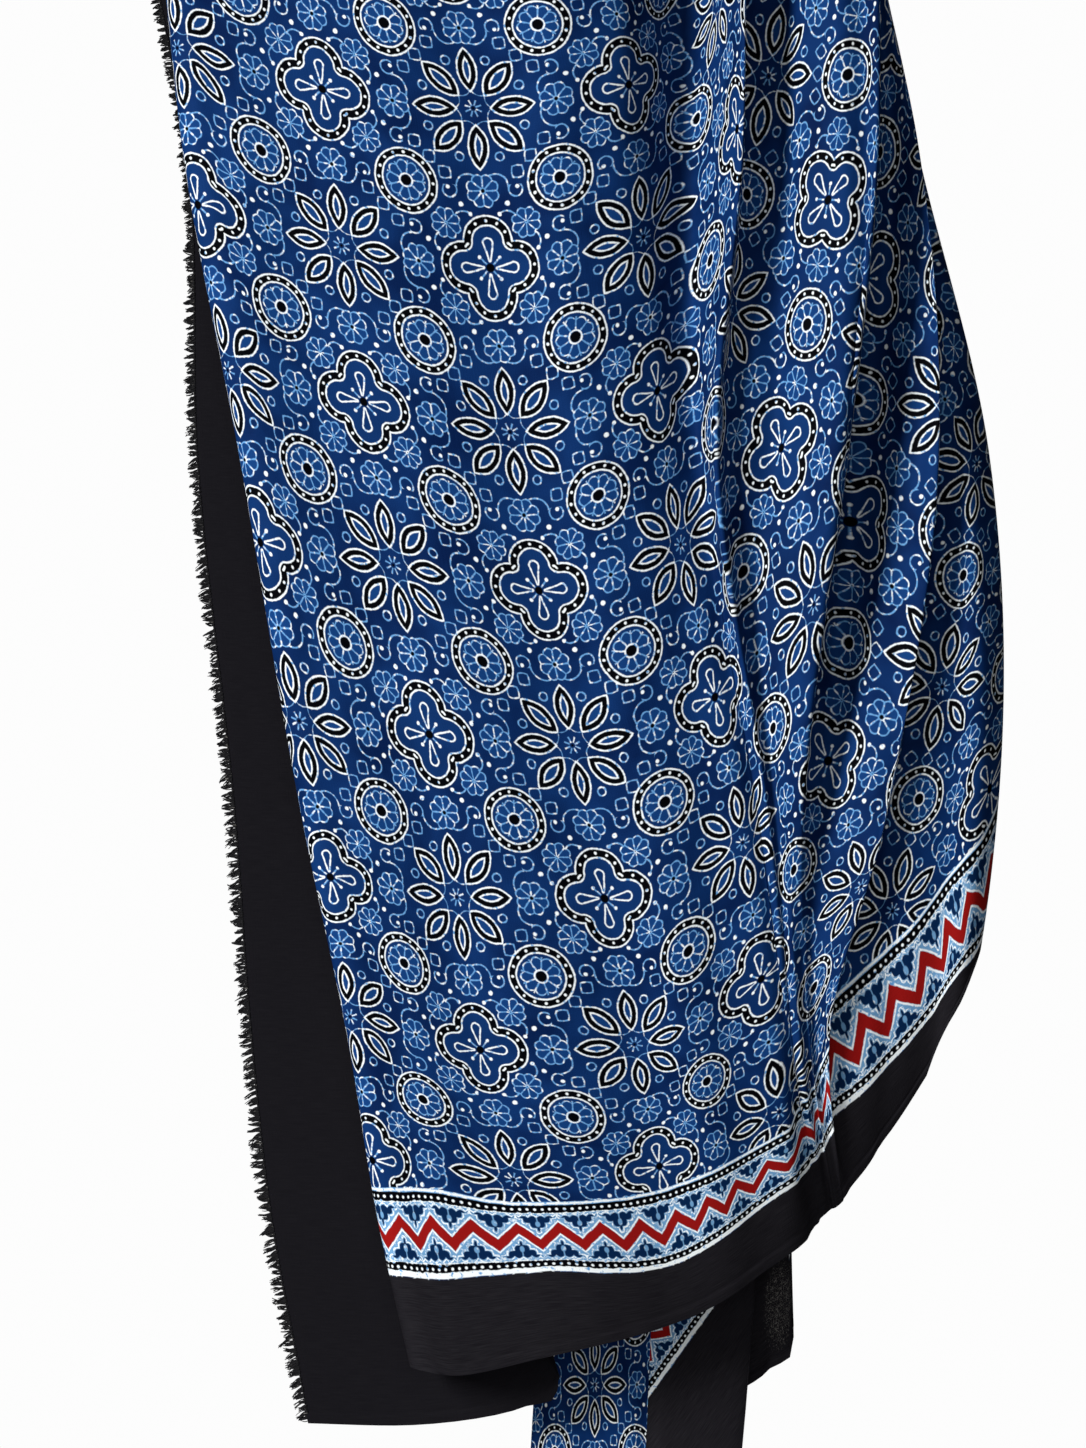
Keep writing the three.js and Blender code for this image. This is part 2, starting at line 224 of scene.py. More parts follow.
def cubic_at(xs, ys, slopes, at):
    """The curve's height at each place; past the last point it runs on straight."""
    xs, ys, slopes = (np.asarray(a, float) for a in (xs, ys, slopes))
    at = np.asarray(at, float)
    k = np.clip(np.searchsorted(xs, at, side="right") - 1, 0, len(xs) - 2)
    span = xs[k + 1] - xs[k]
    t = (at - xs[k]) / span
    rest = 1 - t
    curve = (rest * rest * (1 + 2 * t) * ys[k] + t * t * (1 + 2 * rest) * ys[k + 1]
             + t * rest * span * (rest * slopes[k] - t * slopes[k + 1]))
    straight = ys[-1] + slopes[-1] * (at - xs[-1])
    return np.where(at > xs[-1], straight, curve)


def smooth(xs, ys, at):
    """A smooth curve through the points."""
    xs = np.asarray(xs, float)
    ys = np.asarray(ys, float)
    return cubic_at(xs, ys, slopes_through(xs, ys), at)


def held(xs, ys, at, limit=3):
    """A smooth curve through the points that never overshoots them."""
    xs = np.asarray(xs, float)
    ys = np.asarray(ys, float)
    return cubic_at(xs, ys, held_slopes(xs, ys, limit), at)


KNOTS = []
for index, fold in enumerate(FOLDS):
    angles = TURN_ANGLES if "round" in fold else [None]
    KNOTS += [(index, angle) for angle in angles]


def fold_place(index, drop):
    """A fold's X at each drop, with its Y, or the reach of its turn."""
    fold = FOLDS[index]
    second = fold.get("depth", fold.get("round"))
    return smooth(ACROSS_AT, fold["across"], drop), smooth(DEPTH_AT, second, drop)


def turn_side(index):
    """1 where the cloth turns back at the right of its layers, and -1 at their left."""
    return 1 if FOLDS[index - 1]["across"][2] < FOLDS[index]["across"][2] else -1


def knot_point(knot, drop):
    """A knot's X and Y at each drop below the top edge."""
    index, angle = knot
    x, y = fold_place(index, drop)
    if angle is None:
        return np.stack([x, y], -1)
    before = fold_place(index - 1, drop)[1]
    after = fold_place(index + 1, drop)[1]
    turn = math.radians(angle)
    return np.stack([
        x - turn_side(index) * y * (1 - math.cos(turn)),
        (before + after) / 2 + (after - before) / 2 * math.sin(turn),
    ], -1)


def knot_value(knot, key):
    """A knot's hem or curl, which passes into the next fold's round a turn."""
    index, angle = knot
    here = FOLDS[index][key]
    if not angle:
        return here
    neighbour = FOLDS[index + (1 if angle > 0 else -1)][key]
    return here + (neighbour - here) * TURN_SHARE * (angle / 90) ** 2


def curve_point(p0, p1, p2, p3, fraction):
    """A point on the centripetal Catmull-Rom curve between p1 and p2, row by row."""
    def gap(a, b):
        return np.maximum(np.sqrt(np.linalg.norm(b - a, axis=-1)), LEAST_STEP)[..., None]

    ta = gap(p0, p1)
    tb = ta + gap(p1, p2)
    tc = tb + gap(p2, p3)
    t = ta + (tb - ta) * fraction

    def mix(a, b, start, end):
        return a + (b - a) * (t - start) / (end - start)

    a1 = mix(p0, p1, 0, ta)
    a2 = mix(p1, p2, ta, tb)
    a3 = mix(p2, p3, tb, tc)
    return mix(mix(a1, a2, 0, tb), mix(a2, a3, ta, tc), ta, tb)


def mesh_columns(front_step, back_step):
    """Where each column of the mesh lies between two knots, with its hem and curl."""
    places = np.array([knot_point(knot, SPACED_AT) for knot in KNOTS])
    reach = np.linalg.norm(np.diff(places, axis=0), axis=-1).max(axis=1)
    along = np.concatenate([[0], np.cumsum(reach)])
    hems = [knot_value(knot, "hem") for knot in KNOTS]
    curls = [knot_value(knot, "curl") for knot in KNOTS]
    names = [FOLDS[index]["at"] for index, _ in KNOTS]
    front = range(names.index(FRONT[0]), len(names) - names[::-1].index(FRONT[1]) - 1)
    tail = range(names.index("tail turn"), len(names))
    columns = []
    for span, length in enumerate(reach):
        step = front_step if span in front or span in tail else back_step
        count = max(2, round(length / step))
        columns += [(span, k / count) for k in range(count)]
    columns.append((len(reach) - 1, 1.0))
    place = np.array([along[span] + fraction * reach[span] for span, fraction in columns])
    return columns, held(along, hems, place), held(along, curls, place)


def hung_section(columns, hems, curls, heights):
    """The middle surface as points[column, row] and the drop of each, in millimetres."""
    drops = hems[:, None] * (1 - heights[None, :])
    points = np.empty(drops.shape + (3,))
    for c, (span, fraction) in enumerate(columns):
        drop = drops[c]
        p1, p2 = knot_point(KNOTS[span], drop), knot_point(KNOTS[span + 1], drop)
        p0 = knot_point(KNOTS[span - 1], drop) if span > 0 else 2 * p1 - p2
        far = span + 2 < len(KNOTS)
        p3 = knot_point(KNOTS[span + 2], drop) if far else 2 * p2 - p1
        flat = curve_point(p0, p1, p2, p3, fraction)
        curl = curls[c] * np.exp((drop - hems[c]) / CURL_REACH)
        points[c] = np.stack([flat[:, 0], flat[:, 1] + curl, -drop], -1)
    return points, drops


def fold_print(index, drop):
    """Which repeat of the print lies on a fold at each drop: across, and up from the hem."""
    fold = FOLDS[index]
    hem = fold.get("print_hem", fold["hem"])
    heights = PRINT_AT[:len(fold["repeat"])]
    across = held(heights, fold["repeat"], np.minimum(drop, heights[-1]))
    if "rise" not in fold:
        return across, (hem - drop - FIRST_ROW) / REPEAT
    margin, border = fold["border"]
    marks = list(zip(PRINT_AT, fold["rise"]))
    marks += [(hem - border, (BORDER_TOP - FIRST_ROW) / REPEAT)]
    marks += [(hem - margin, (MARGIN_TOP - FIRST_ROW) / REPEAT)]
    marks += [(hem, -FIRST_ROW / REPEAT)]
    return across, held([m[0] for m in marks], [m[1] for m in marks], drop)


def knot_print(knot, drop):
    """The print on a knot; round a turn it goes on by the turn's own arc."""
    index, angle = knot
    across, up = fold_print(index, drop)
    if not angle:
        return across, up
    if FOLDS[index]["at"] == FRONT[1] and angle < 0:
        before, fold, here = (fold_place(index - 1, drop)[0], fold_place(index, drop)[0],
                              knot_point(knot, drop)[:, 0])
        share = np.clip((here - before) / np.maximum(fold - before, 1), 0.05, 0.95)
        last_across, last_up = fold_print(index - 1, drop)
        return last_across + share * (across - last_across), last_up + share * (up - last_up)
    gap = abs(fold_place(index + 1, drop)[1] - fold_place(index - 1, drop)[1])
    return across + angle / 180 * math.pi / 2 * gap / REPEAT, up


def tail_print(points):
    """The tail's own print, left of its crease and right of it."""
    x = points[..., 0] - TAIL["star_x"]
    z = points[..., 2] - TAIL["star_z"]
    star, star_scale, band_scale = TAIL["star"], TAIL["star_scale"], TAIL["band_scale"]
    hem_x, hem_z = TAIL["to_hem"]
    to_margin = TAIL["margin_line"] - x * hem_x - z * hem_z
    along = x * -hem_z + z * hem_x
    gathered = star[0] + x / star_scale[0] / REPEAT, star[1] + z / star_scale[1] / REPEAT
    band_up = (to_margin / band_scale[1] + MARGIN_TOP - FIRST_ROW) / REPEAT
    return gathered, (star[0] + along / band_scale[0] / REPEAT, band_up)


def level_section(columns, curls):
    """The section at level heights, as points[column, level] and their drops."""
    lowest = np.full(len(columns), max(fold["hem"] for fold in FOLDS), float)
    return hung_section(columns, lowest, np.zeros_like(curls), np.linspace(1, 0, LEVELS))


def arc_lengths(points):
    """How far each point lies along its row, from the frayed edge."""
    steps = np.linalg.norm(np.diff(points, axis=0), axis=-1)
    return np.concatenate([np.zeros((1, steps.shape[1])), np.cumsum(steps, axis=0)])


def section_print(points, drops, at_knot):
    """The print across and up, carried along each row of points from knot to knot."""
    along = arc_lengths(points)
    gathered = tail_print(points)[0]
    prints = []
    for knot, at in zip(KNOTS, at_knot):
        printed = "repeat" in FOLDS[knot[0]]
        prints.append(knot_print(knot, drops[at]) if printed else (gathered[0][at], gathered[1][at]))
    count, rows = drops.shape
    across = np.empty((count, rows))
    up = np.empty((count, rows))
    for r in range(rows):
        xs = along[at_knot, r]
        across[:, r] = held(xs, [place[0][r] for place in prints], along[:, r], EVEN_PRINT)
        up[:, r] = held(xs, [place[1][r] for place in prints], along[:, r], EVEN_PRINT)
    return across, up


def print_places(columns, hems, curls, points, drops):
    """The print's two coordinates at every point, in repeats."""
    at_knot = [c for c, (span, fraction) in enumerate(columns) if fraction in (0, 1)]
    up_rows = section_print(points, drops, at_knot)[1]
    levels, level_drops = level_section(columns, curls)
    across_levels, up_levels = section_print(levels, level_drops, at_knot)
    u = np.empty(drops.shape)
    v = np.empty(drops.shape)
    for c in range(len(columns)):
        share = np.clip((hems[c] - drops[c] - LEVEL_ABOVE) / LEVEL_ABOVE, 0, 1)
        u[c] = np.interp(drops[c], level_drops[c], across_levels[c])
        level = np.interp(drops[c], level_drops[c], up_levels[c])
        v[c] = up_rows[c] + share * share * (3 - 2 * share) * (level - up_rows[c])
    gathered, bordered = tail_print(points)
    start = at_knot[[FOLDS[index]["at"] for index, _ in KNOTS].index("tail turn")]
    near_hem = len(drops[0]) // 10
    crease = start + np.argmax(points[start:, near_hem, 0] > TAIL["crease_x"])
    u[start:crease], v[start:crease] = gathered[0][start:crease], gathered[1][start:crease]
    u[crease:], v[crease:] = bordered[0][crease:], bordered[1][crease:]
    return u, v, {crease: (gathered[0][crease], gathered[1][crease])}


# ---------------------------------------------------------------- small relief

# Soft waves on the printed front. across: X at the heights of WAVE_AT, measured down from the top.
# height: how far the wave stands forward (negative) or back there. width: half its breadth.
WAVE_AT = [0, 250, 500, 750, 950]
SOFT_WAVES = [
    dict(across=[-200, -185, -130, -75, -50], height=[-1, -2, -1, -2, -1], width=16),
    dict(across=[-170, -150, -95, -30, 0], height=[2, 2, 2, 3, 1], width=22),
    dict(across=[-95, -80, -40, 20, 60], height=[-2, -2, -3, -2, -1], width=26),
    dict(across=[-40, -20, 25, 80, 110], height=[2, 3, 2, 3, 1], width=22),
    dict(across=[20, 35, 75, 120, 150], height=[-3, -4, -2, -3, -1], width=20),
    dict(across=[88, 92, 120, 150, 175], height=[5, 3, 3, 2, 1], width=14),
    dict(across=[120, 128, 150, 185, 200], height=[0, -2, -3, -3, -1], width=12),
    dict(across=[112, 114, 126, 160, 180], height=[9, 6, 0, 0, 0], width=14),
    dict(across=[178, 178, 170, 180, 190], height=[10, 7, 0, 0, 0], width=13),
    dict(across=[236, 238, 222, 210, 200], height=[7, 8, 3, 0, 0], width=8),
    dict(across=[182, 180, 165, 205, 215], height=[4, 4, 2, 2, 1], width=10),
    dict(across=[225, 228, 205, 225, 235], height=[-4, -3, -2, -2, 0], width=11),
    dict(across=[265, 285, 262, 260, 250], height=[0, 3, 4, 3, 0], width=9),
    dict(across=[270, 300, 320, 300, 270], height=[0, -2, -3, -2, 0], width=10),
]
# They lie between these repeats of the print.
WAVES_FROM = BLACK_BELOW + 0.6
WAVES_TO = BLACK_FROM - 1.2

# The turned hem: its height, the softness of its step, how far it stands forward, and how far
# its stitches sink. It ends above the tail's cut edge. rows: faces in the lowest part of the sheet.
HEM = {"turn": 7.7, "soft": 1.3, "raise": 0.7, "sink": 0.6, "to": 1060, "rows": 14, "part": 0.02}
TAIL_CREASE = {"depth": 5, "width": 6}


def rise_of_fabric(u, v, points, hems, drops):
    """Small relief that the folds don't hold: soft waves, pressed creases and the turned hem."""
    x, z = points[..., 0], -points[..., 2]
    relief = np.zeros(u.shape)
    for wave in SOFT_WAVES:
        centre = smooth(WAVE_AT, wave["across"], np.minimum(z, WAVE_AT[-1]))
        strength = np.interp(z, WAVE_AT, wave["height"])
        relief += strength * np.exp(-((x - centre) / wave["width"]) ** 2)
    front = (u > WAVES_FROM) & (u < WAVES_TO)
    relief = np.where(front, relief, 0)
    above = hems[:, None] - drops
    turned = np.clip((HEM["turn"] - above) / HEM["soft"] + 0.5, 0, 1)
    stitched = np.exp(-((above - HEM["turn"]) / HEM["soft"]) ** 2)
    plain = -HEM["raise"] * turned + HEM["sink"] * stitched
    crease = TAIL_CREASE["depth"] * np.exp(-((x - TAIL["crease_x"]) / TAIL_CREASE["width"]) ** 2)
    relief += np.where(u > TAIL_FROM, crease, 0)
    return relief + np.where(z < HEM["to"], plain, 0)


# ---------------------------------------------------------------- patterns as formulas


class Pattern:
    """Writes a material's pattern as arithmetic, one maths node for each step."""

    def __init__(self, tree):
        self.tree = tree
        self.part = None
        self.steps = 0

    def begin(self, label):
        """Start a labelled frame of nodes, one for each motif or part of the cloth."""
        self.part = self.tree.nodes.new("NodeFrame")
        self.part.label = label
        self.part.location = (0, -900 * len([n for n in self.tree.nodes if n.type == "FRAME"]))
        self.steps = 0

    def node(self, kind, **settings):
        node = self.tree.nodes.new(kind)
        node.parent = self.part
        node.location = (180 * (self.steps // 4), -190 * (self.steps % 4))
        node.hide = True
        self.steps += 1
        for name, value in settings.items():
            setattr(node, name, value)
        return node

    def feed(self, socket, value):
        if isinstance(value, Value):
            self.tree.links.new(value.socket, socket)
        elif isinstance(value, bpy.types.NodeSocket):
            self.tree.links.new(value, socket)
        else:
            socket.default_value = value

    def maths(self, operation, *values):
        node = self.node("ShaderNodeMath", operation=operation)
        for socket, value in zip(node.inputs, values):
            self.feed(socket, value)
        return Value(self, node.outputs[0])

    def vector_maths(self, operation, *values):
        node = self.node("ShaderNodeVectorMath", operation=operation)
        for socket, value in zip(node.inputs, values):
            self.feed(socket, value)
        single = operation in ("LENGTH", "DISTANCE", "DOT_PRODUCT")
        return Value(self, node.outputs["Value" if single else "Vector"])

    def vector(self, x, y):
        node = self.node("ShaderNodeCombineXYZ")
        self.feed(node.inputs[0], x)
        self.feed(node.inputs[1], y)
        return Value(self, node.outputs[0])

    def parts(self, vector):
        node = self.node("ShaderNodeSeparateXYZ")
        self.feed(node.inputs[0], vector)
        return Value(self, node.outputs[0]), Value(self, node.outputs[1])

    def turned(self, vector, degrees, scale=1.0):
        """The vector turned clockwise and scaled."""
        node = self.node("ShaderNodeMapping", vector_type="POINT")
        self.feed(node.inputs["Vector"], vector)
        node.inputs["Rotation"].default_value = (0, 0, -math.radians(degrees))
        node.inputs["Scale"].default_value = (scale, scale, 1)
        return Value(self, node.outputs[0])

    def length(self, x, y):
        return self.vector_maths("LENGTH", self.vector(x, y))

    def from_point(self, vector, x, y):
        return self.vector_maths("DISTANCE", vector, (x, y, 0))

    def ramp(self, value, low, high):
        """0 below low and 1 above high, straight between; low may lie above high."""
        node = self.node("ShaderNodeMapRange", clamp=True)
        for name, number in (("From Min", low), ("From Max", high)):
            node.inputs[name].default_value = number
        self.feed(node.inputs["Value"], value)
        return Value(self, node.outputs[0])

    def noise(self, vector, scale, detail=2.0, colour=False, dimensions="2D"):
        node = self.node("ShaderNodeTexNoise", noise_dimensions=dimensions)
        self.feed(node.inputs["Vector"], vector)
        node.inputs["Scale"].default_value = scale
        node.inputs["Detail"].default_value = detail
        return Value(self, node.outputs["Color" if colour else "Fac"])

    def mix(self, amount, below, above):
        """One colour laid over another."""
        node = self.node("ShaderNodeMix", data_type="RGBA")
        self.feed(node.inputs[0], amount)
        self.feed(node.inputs[6], below)
        self.feed(node.inputs[7], above)
        return Value(self, node.outputs[2])

    def least(self, *values):
        found = values[0]
        for value in values[1:]:
            found = self.maths("MINIMUM", found, value)
        return found

    def most(self, *values):
        found = values[0]
        for value in values[1:]:
            found = self.maths("MAXIMUM", found, value)
        return found

    def fold(self, angle, half):
        """Zero at every second multiple of half, and half at the others."""
        return self.maths("PINGPONG", angle, half)


class Value:
    """A number or vector that some node gives, for use in ordinary sums."""

    def __init__(self, pattern, socket):
        self.pattern = pattern
        self.socket = socket

    def __add__(self, other):
        return self.pattern.maths("ADD", self, other)

    def __sub__(self, other):
        return self.pattern.maths("SUBTRACT", self, other)

    def __rsub__(self, other):
        return self.pattern.maths("SUBTRACT", other, self)

    def __mul__(self, other):
        return self.pattern.maths("MULTIPLY", self, other)

    def __neg__(self):
        return self.pattern.maths("MULTIPLY", self, -1.0)

    def __abs__(self):
        return self.pattern.maths("ABSOLUTE", self)

    __radd__ = __add__
    __rmul__ = __mul__


def outline(distance, half_width, at=0.0):
    """How far a point is from a drawn line: below zero on the line itself."""
    return abs(distance - at if at else distance) - half_width


class Inks:
    """What each ink covers, as distances that are below zero where the ink lies."""

    def __init__(self, pattern):
        self.pattern = pattern
        self.cover = {"white": None, "pale": None, "black": None, "mid": None}

    def lay(self, ink, *distances):
        for distance in distances:
            so_far = self.cover[ink]
            joined = distance if so_far is None else self.pattern.least(so_far, distance)
            self.cover[ink] = joined


# Sizes below are in repeats of the print, from one motif's middle.
LINE = 0.0048  # half the breadth of a white line
FINE = 0.0042  # and of a pale blue one

QUATREFOIL = dict(lobe=0.160, black_mid=0.029, black_half=0.0250, inner=0.0565, dots=0.0085,
                  dot_angle=0.28, heart=0.027, loop_start=0.045, loop_end=0.155,
                  loop_thin=0.005, loop_round=0.026, stem_from=0.030, stem_to=0.080, bud=0.092,
                  bud_size=0.011)
WHEEL = dict(edge=0.475, corner=0.372, corner_less=0.010, rim=0.090, swell=0.016, spokes=8,
             hub=0.017, dot=0.013)
TENDRIL = dict(arc=0.085, side=0.085, start=0.045, out=0.020, curl=0.045, curl_side=0.215,
               end=0.030, dot=0.0120, dot_at=(0.493, 0.227))
CORNER_TENDRIL = dict(centre=(0.300, 0.100), arc=0.065, end=0.080, dot=(0.300, 0.165), size=0.0125)
SPOTS = dict(at=(0.392, 0.152), size=0.0150)
STAR = dict(middle=0.250, offset=0.1240, arc=0.1880, corner_middle=0.262, corner_offset=0.1080,
            corner_arc=0.1790, black_mid=-0.0210, black_half=0.0195, inner=-0.0420, core=-0.0450)
STAR_HEART = dict(dot=0.009, ray_middle=0.038, ray_half=0.018, arc=(0.150, 0.062),
                  arc_size=0.068, arc_half=0.00189, arc_to=0.115)
RINGLET = dict(at=(0.3100, 0.1284), size=0.0275)
BUTTONS = dict(along=0.462, apart=0.128, size=0.037, half=0.00357, squareness=0.45, roundness=0.36)
MEDALLION = dict(outer=0.204, black_mid=0.179, black_half=0.0215, inner=0.154, dots=0.0088,
                 dot_count=16, petals=9, rim=0.104, swell=0.022, spoke_mid=0.084,
                 spoke_half=0.042, heart=0.034, ring=0.041)


def eighth(pattern, across_up):
    """Fold a motif's plane to one eighth: p along its arm, q aside; and m, n on its diagonal."""
    flat = pattern.vector_maths("ABSOLUTE", across_up)
    x, y = pattern.parts(flat)
    p = pattern.maths("MAXIMUM", x, y)
    q = pattern.maths("MINIMUM", x, y)
    arm = pattern.vector(p, q)
    diagonal = pattern.vector_maths("ABSOLUTE", pattern.turned(arm, 45))
    return p, q, arm, diagonal


def lattice_cell(pattern, halves, shift):
    """A motif's own plane, from the print turned to the lattice of that motif."""
    moved = pattern.vector_maths("ADD", halves, (shift, shift, 0))
    cell = pattern.vector_maths("FRACTION", moved)
    centred = pattern.vector_maths("SUBTRACT", cell, (0.5, 0.5, 0.5))
    return pattern.turned(centred, -45, math.sqrt(2))


def draw_quatrefoils(pattern, inks, halves):
    """Four-lobed flowers, with the spoked wheels, tendrils and spots round them."""
    pattern.begin("Four-lobed flower")
    size = QUATREFOIL
    p, q, arm, diagonal = eighth(pattern, lattice_cell(pattern, halves, 0.5))
    m, n = pattern.parts(diagonal)
    lobe = pattern.from_point(arm, size["lobe"], 0) - size["lobe"]
    notch = -pattern.from_point(arm, size["lobe"], size["lobe"])
    within = pattern.maths("LESS_THAN", p, size["lobe"])
    lobe = lobe + within * (notch - lobe)
    inks.lay("white", outline(lobe, LINE), outline(lobe, LINE, -size["inner"]))
    inks.lay("black", outline(lobe, size["black_half"], -size["black_mid"]))
    angle = pattern.maths("ARCTAN2", q, p - size["lobe"])
    beside = pattern.fold(angle, size["dot_angle"]) * (size["lobe"] - size["black_mid"])
    dots = pattern.length(beside, lobe + size["black_mid"]) - size["dots"]
    inks.lay("white", dots)
    inside = lobe + size["inner"]

    reach = pattern.ramp(p, size["loop_start"], size["loop_end"])
    near = pattern.maths("MAXIMUM", pattern.maths("MINIMUM", p, size["loop_end"]),
                         size["loop_start"])
    loop = pattern.length(p - near, q) - (reach * size["loop_round"] + size["loop_thin"])
    inks.lay("white", outline(loop, LINE))
    bud = pattern.from_point(diagonal, size["bud"], 0)
    stem_mid = (size["stem_from"] + size["stem_to"]) / 2
    stem_half = (size["stem_to"] - size["stem_from"]) / 2
    stem = pattern.most(n - FINE, outline(m, stem_half, stem_mid))
    inks.lay("pale", stem)
    inks.lay("white", bud - size["bud_size"])
    middle = pattern.vector_maths("LENGTH", arm)
    inks.lay("black", middle - size["heart"])

    pattern.begin("Spoked wheels")
    size = WHEEL
    to_edge = pattern.vector_maths("SUBTRACT", arm, (size["edge"], 0, 0))
    to_corner = pattern.vector_maths("SUBTRACT", diagonal, (size["corner"], 0, 0))
    edge_away = pattern.vector_maths("LENGTH", to_edge)
    corner_away = pattern.vector_maths("LENGTH", to_corner)
    at_corner = pattern.maths("LESS_THAN", corner_away, edge_away)
    choice = pattern.node("ShaderNodeMix", data_type="VECTOR")
    pattern.feed(choice.inputs[0], at_corner)
    pattern.feed(choice.inputs[4], to_edge)
    pattern.feed(choice.inputs[5], to_corner)
    along, aside = pattern.parts(Value(pattern, choice.outputs[1]))
    away = pattern.least(edge_away, corner_away) + at_corner * size["corner_less"]
    angle = pattern.maths("ARCTAN2", aside, along)
    spoke = pattern.fold(angle, math.pi / size["spokes"])
    rim = pattern.maths("SINE", spoke * (size["spokes"] / 2)) * size["swell"] + size["rim"]
    from_rim = away - rim
    inks.lay("pale", outline(from_rim, FINE), pattern.most(away * spoke - FINE, from_rim))
    inks.lay("mid", from_rim)
    inks.lay("black", away - size["dot"])
    inks.lay("pale", outline(away, FINE, size["hub"]))

    pattern.begin("Tendrils and spots")
    size = TENDRIL
    edge = WHEEL["edge"]
    arc = outline(pattern.from_point(arm, edge + size["out"], size["side"]), FINE, size["arc"])
    arc = pattern.most(arc, (edge + size["out"]) - p, size["start"] - q)
    curl = outline(pattern.from_point(arm, edge, size["curl_side"]), FINE, size["curl"])
    curl = pattern.most(curl, p - (edge + size["end"]))
    inks.lay("pale", arc, curl)
    inks.lay("white", pattern.from_point(arm, *size["dot_at"]) - size["dot"])
    size = CORNER_TENDRIL
    short = outline(pattern.from_point(diagonal, *size["centre"]), FINE, size["arc"])
    short = pattern.most(short, size["centre"][0] - m, size["end"] - n)
    inks.lay("pale", short)
    inks.lay("white", pattern.from_point(diagonal, *size["dot"]) - size["size"])
    inks.lay("white", pattern.from_point(arm, *SPOTS["at"]) - SPOTS["size"])
    return inside


def draw_stars(pattern, inks, halves):
    """Stars of eight petals, with ringlets between them and buttons at four of their tips."""
    pattern.begin("Eight-petalled star")
    size = STAR
    p, q, arm, diagonal = eighth(pattern, lattice_cell(pattern, halves, 0.0))
    m, n = pattern.parts(diagonal)
    petal = pattern.from_point(arm, size["middle"], -size["offset"]) - size["arc"]
    corner = pattern.from_point(diagonal, size["corner_middle"], -size["corner_offset"])
    petal = pattern.least(petal, corner - size["corner_arc"])
    inks.lay("white", outline(petal, LINE), outline(petal, LINE, size["inner"]))
    inks.lay("black", outline(petal, size["black_half"], size["black_mid"]))
    inks.lay("mid", petal - size["core"])

    pattern.begin("Star heart, ringlets and buttons")
    size = STAR_HEART
    middle = pattern.vector_maths("LENGTH", arm)
    ray = pattern.vector_maths("DOT_PRODUCT", arm, (-math.sin(math.pi / 8), math.cos(math.pi / 8), 0))
    ray = pattern.most(abs(ray) - FINE, outline(middle, size["ray_half"], size["ray_middle"]))
    link = outline(pattern.from_point(arm, *size["arc"]), size["arc_half"], size["arc_size"])
    link = pattern.most(link, middle - size["arc_to"])
    inks.lay("pale", ray, link)
    inks.lay("black", middle - size["dot"])
    inks.lay("pale", outline(pattern.from_point(arm, *RINGLET["at"]), FINE, RINGLET["size"]))
    size = BUTTONS
    second = pattern.maths("GREATER_THAN", n, size["apart"] / 2)
    aside = abs(n - second * size["apart"])
    along = abs(m - size["along"])
    button = (along + aside) * size["squareness"] + pattern.length(along, aside) * size["roundness"]
    inks.lay("pale", outline(button, size["half"], size["size"]))


def draw_medallions(pattern, inks, print_place):
    """Round medallions: a dotted ring about a nine-petalled wheel."""
    pattern.begin("Round medallion")
    size = MEDALLION
    cell = pattern.vector_maths("FRACTION", print_place)
    centred = pattern.vector_maths("SUBTRACT", cell, (0.5, 0.5, 0))
    x, y = pattern.parts(centred)
    away = pattern.length(x, y)
    angle = pattern.maths("ARCTAN2", y, x)
    inks.lay("white", outline(away, LINE, size["outer"]), outline(away, LINE, size["inner"]))
    inks.lay("black", outline(away, size["black_half"], size["black_mid"]))
    beside = pattern.fold(angle, math.pi / size["dot_count"]) * size["black_mid"]
    inks.lay("white", pattern.length(beside, away - size["black_mid"]) - size["dots"])
    spoke = pattern.fold(angle, math.pi / size["petals"])
    line = pattern.most(away * spoke - FINE, outline(away, size["spoke_half"], size["spoke_mid"]))
    rim = pattern.maths("SINE", spoke * (size["petals"] / 2)) * size["swell"] + size["rim"]
    from_rim = away - rim
    inks.lay("pale", line, outline(from_rim, FINE))
    inks.lay("mid", from_rim)
    inks.lay("black", away - size["heart"])
    inks.lay("white", outline(away, LINE, size["ring"]))
    return away - size["inner"]


# The border, in millimetres from its middle line, which both of its halves mirror. The specks
# say how far each line is eaten into by the grain, and soft how blurred every edge is.
BORDER = dict(middle=95.5, ground=21.0, lace=20.9, lace_half=0.3, lace_specks=5.0, black=24.6,
              black_half=3.5, dot=1.05, dot_step=2.73, broken=29.6, broken_half=1.7,
              broken_specks=2.2, thinner_above=0.95, edge=31.0, soft=0.35)
ZIGZAG = dict(half_period=15.0, height=7.5, slope=0.707, red=3.6, white=4.2, white_half=0.6,
              white_specks=1.4)
CLUB = dict(tip_up=4.0, top=18.7, lobe=3.1, swell=2.0, drop_up=11.2, drop_size=1.7, drop_long=1.5,
            stem=0.42, rim=1.2, rim_half=0.35, rim_specks=4.0)


def scallops(pattern, along, half):
    """A row of lobes: zero at each lobe's middle and one at the cusps between them."""
    rise = pattern.maths("SINE", pattern.fold(along, half) * (math.pi / 2 / half))
    return 1 - rise


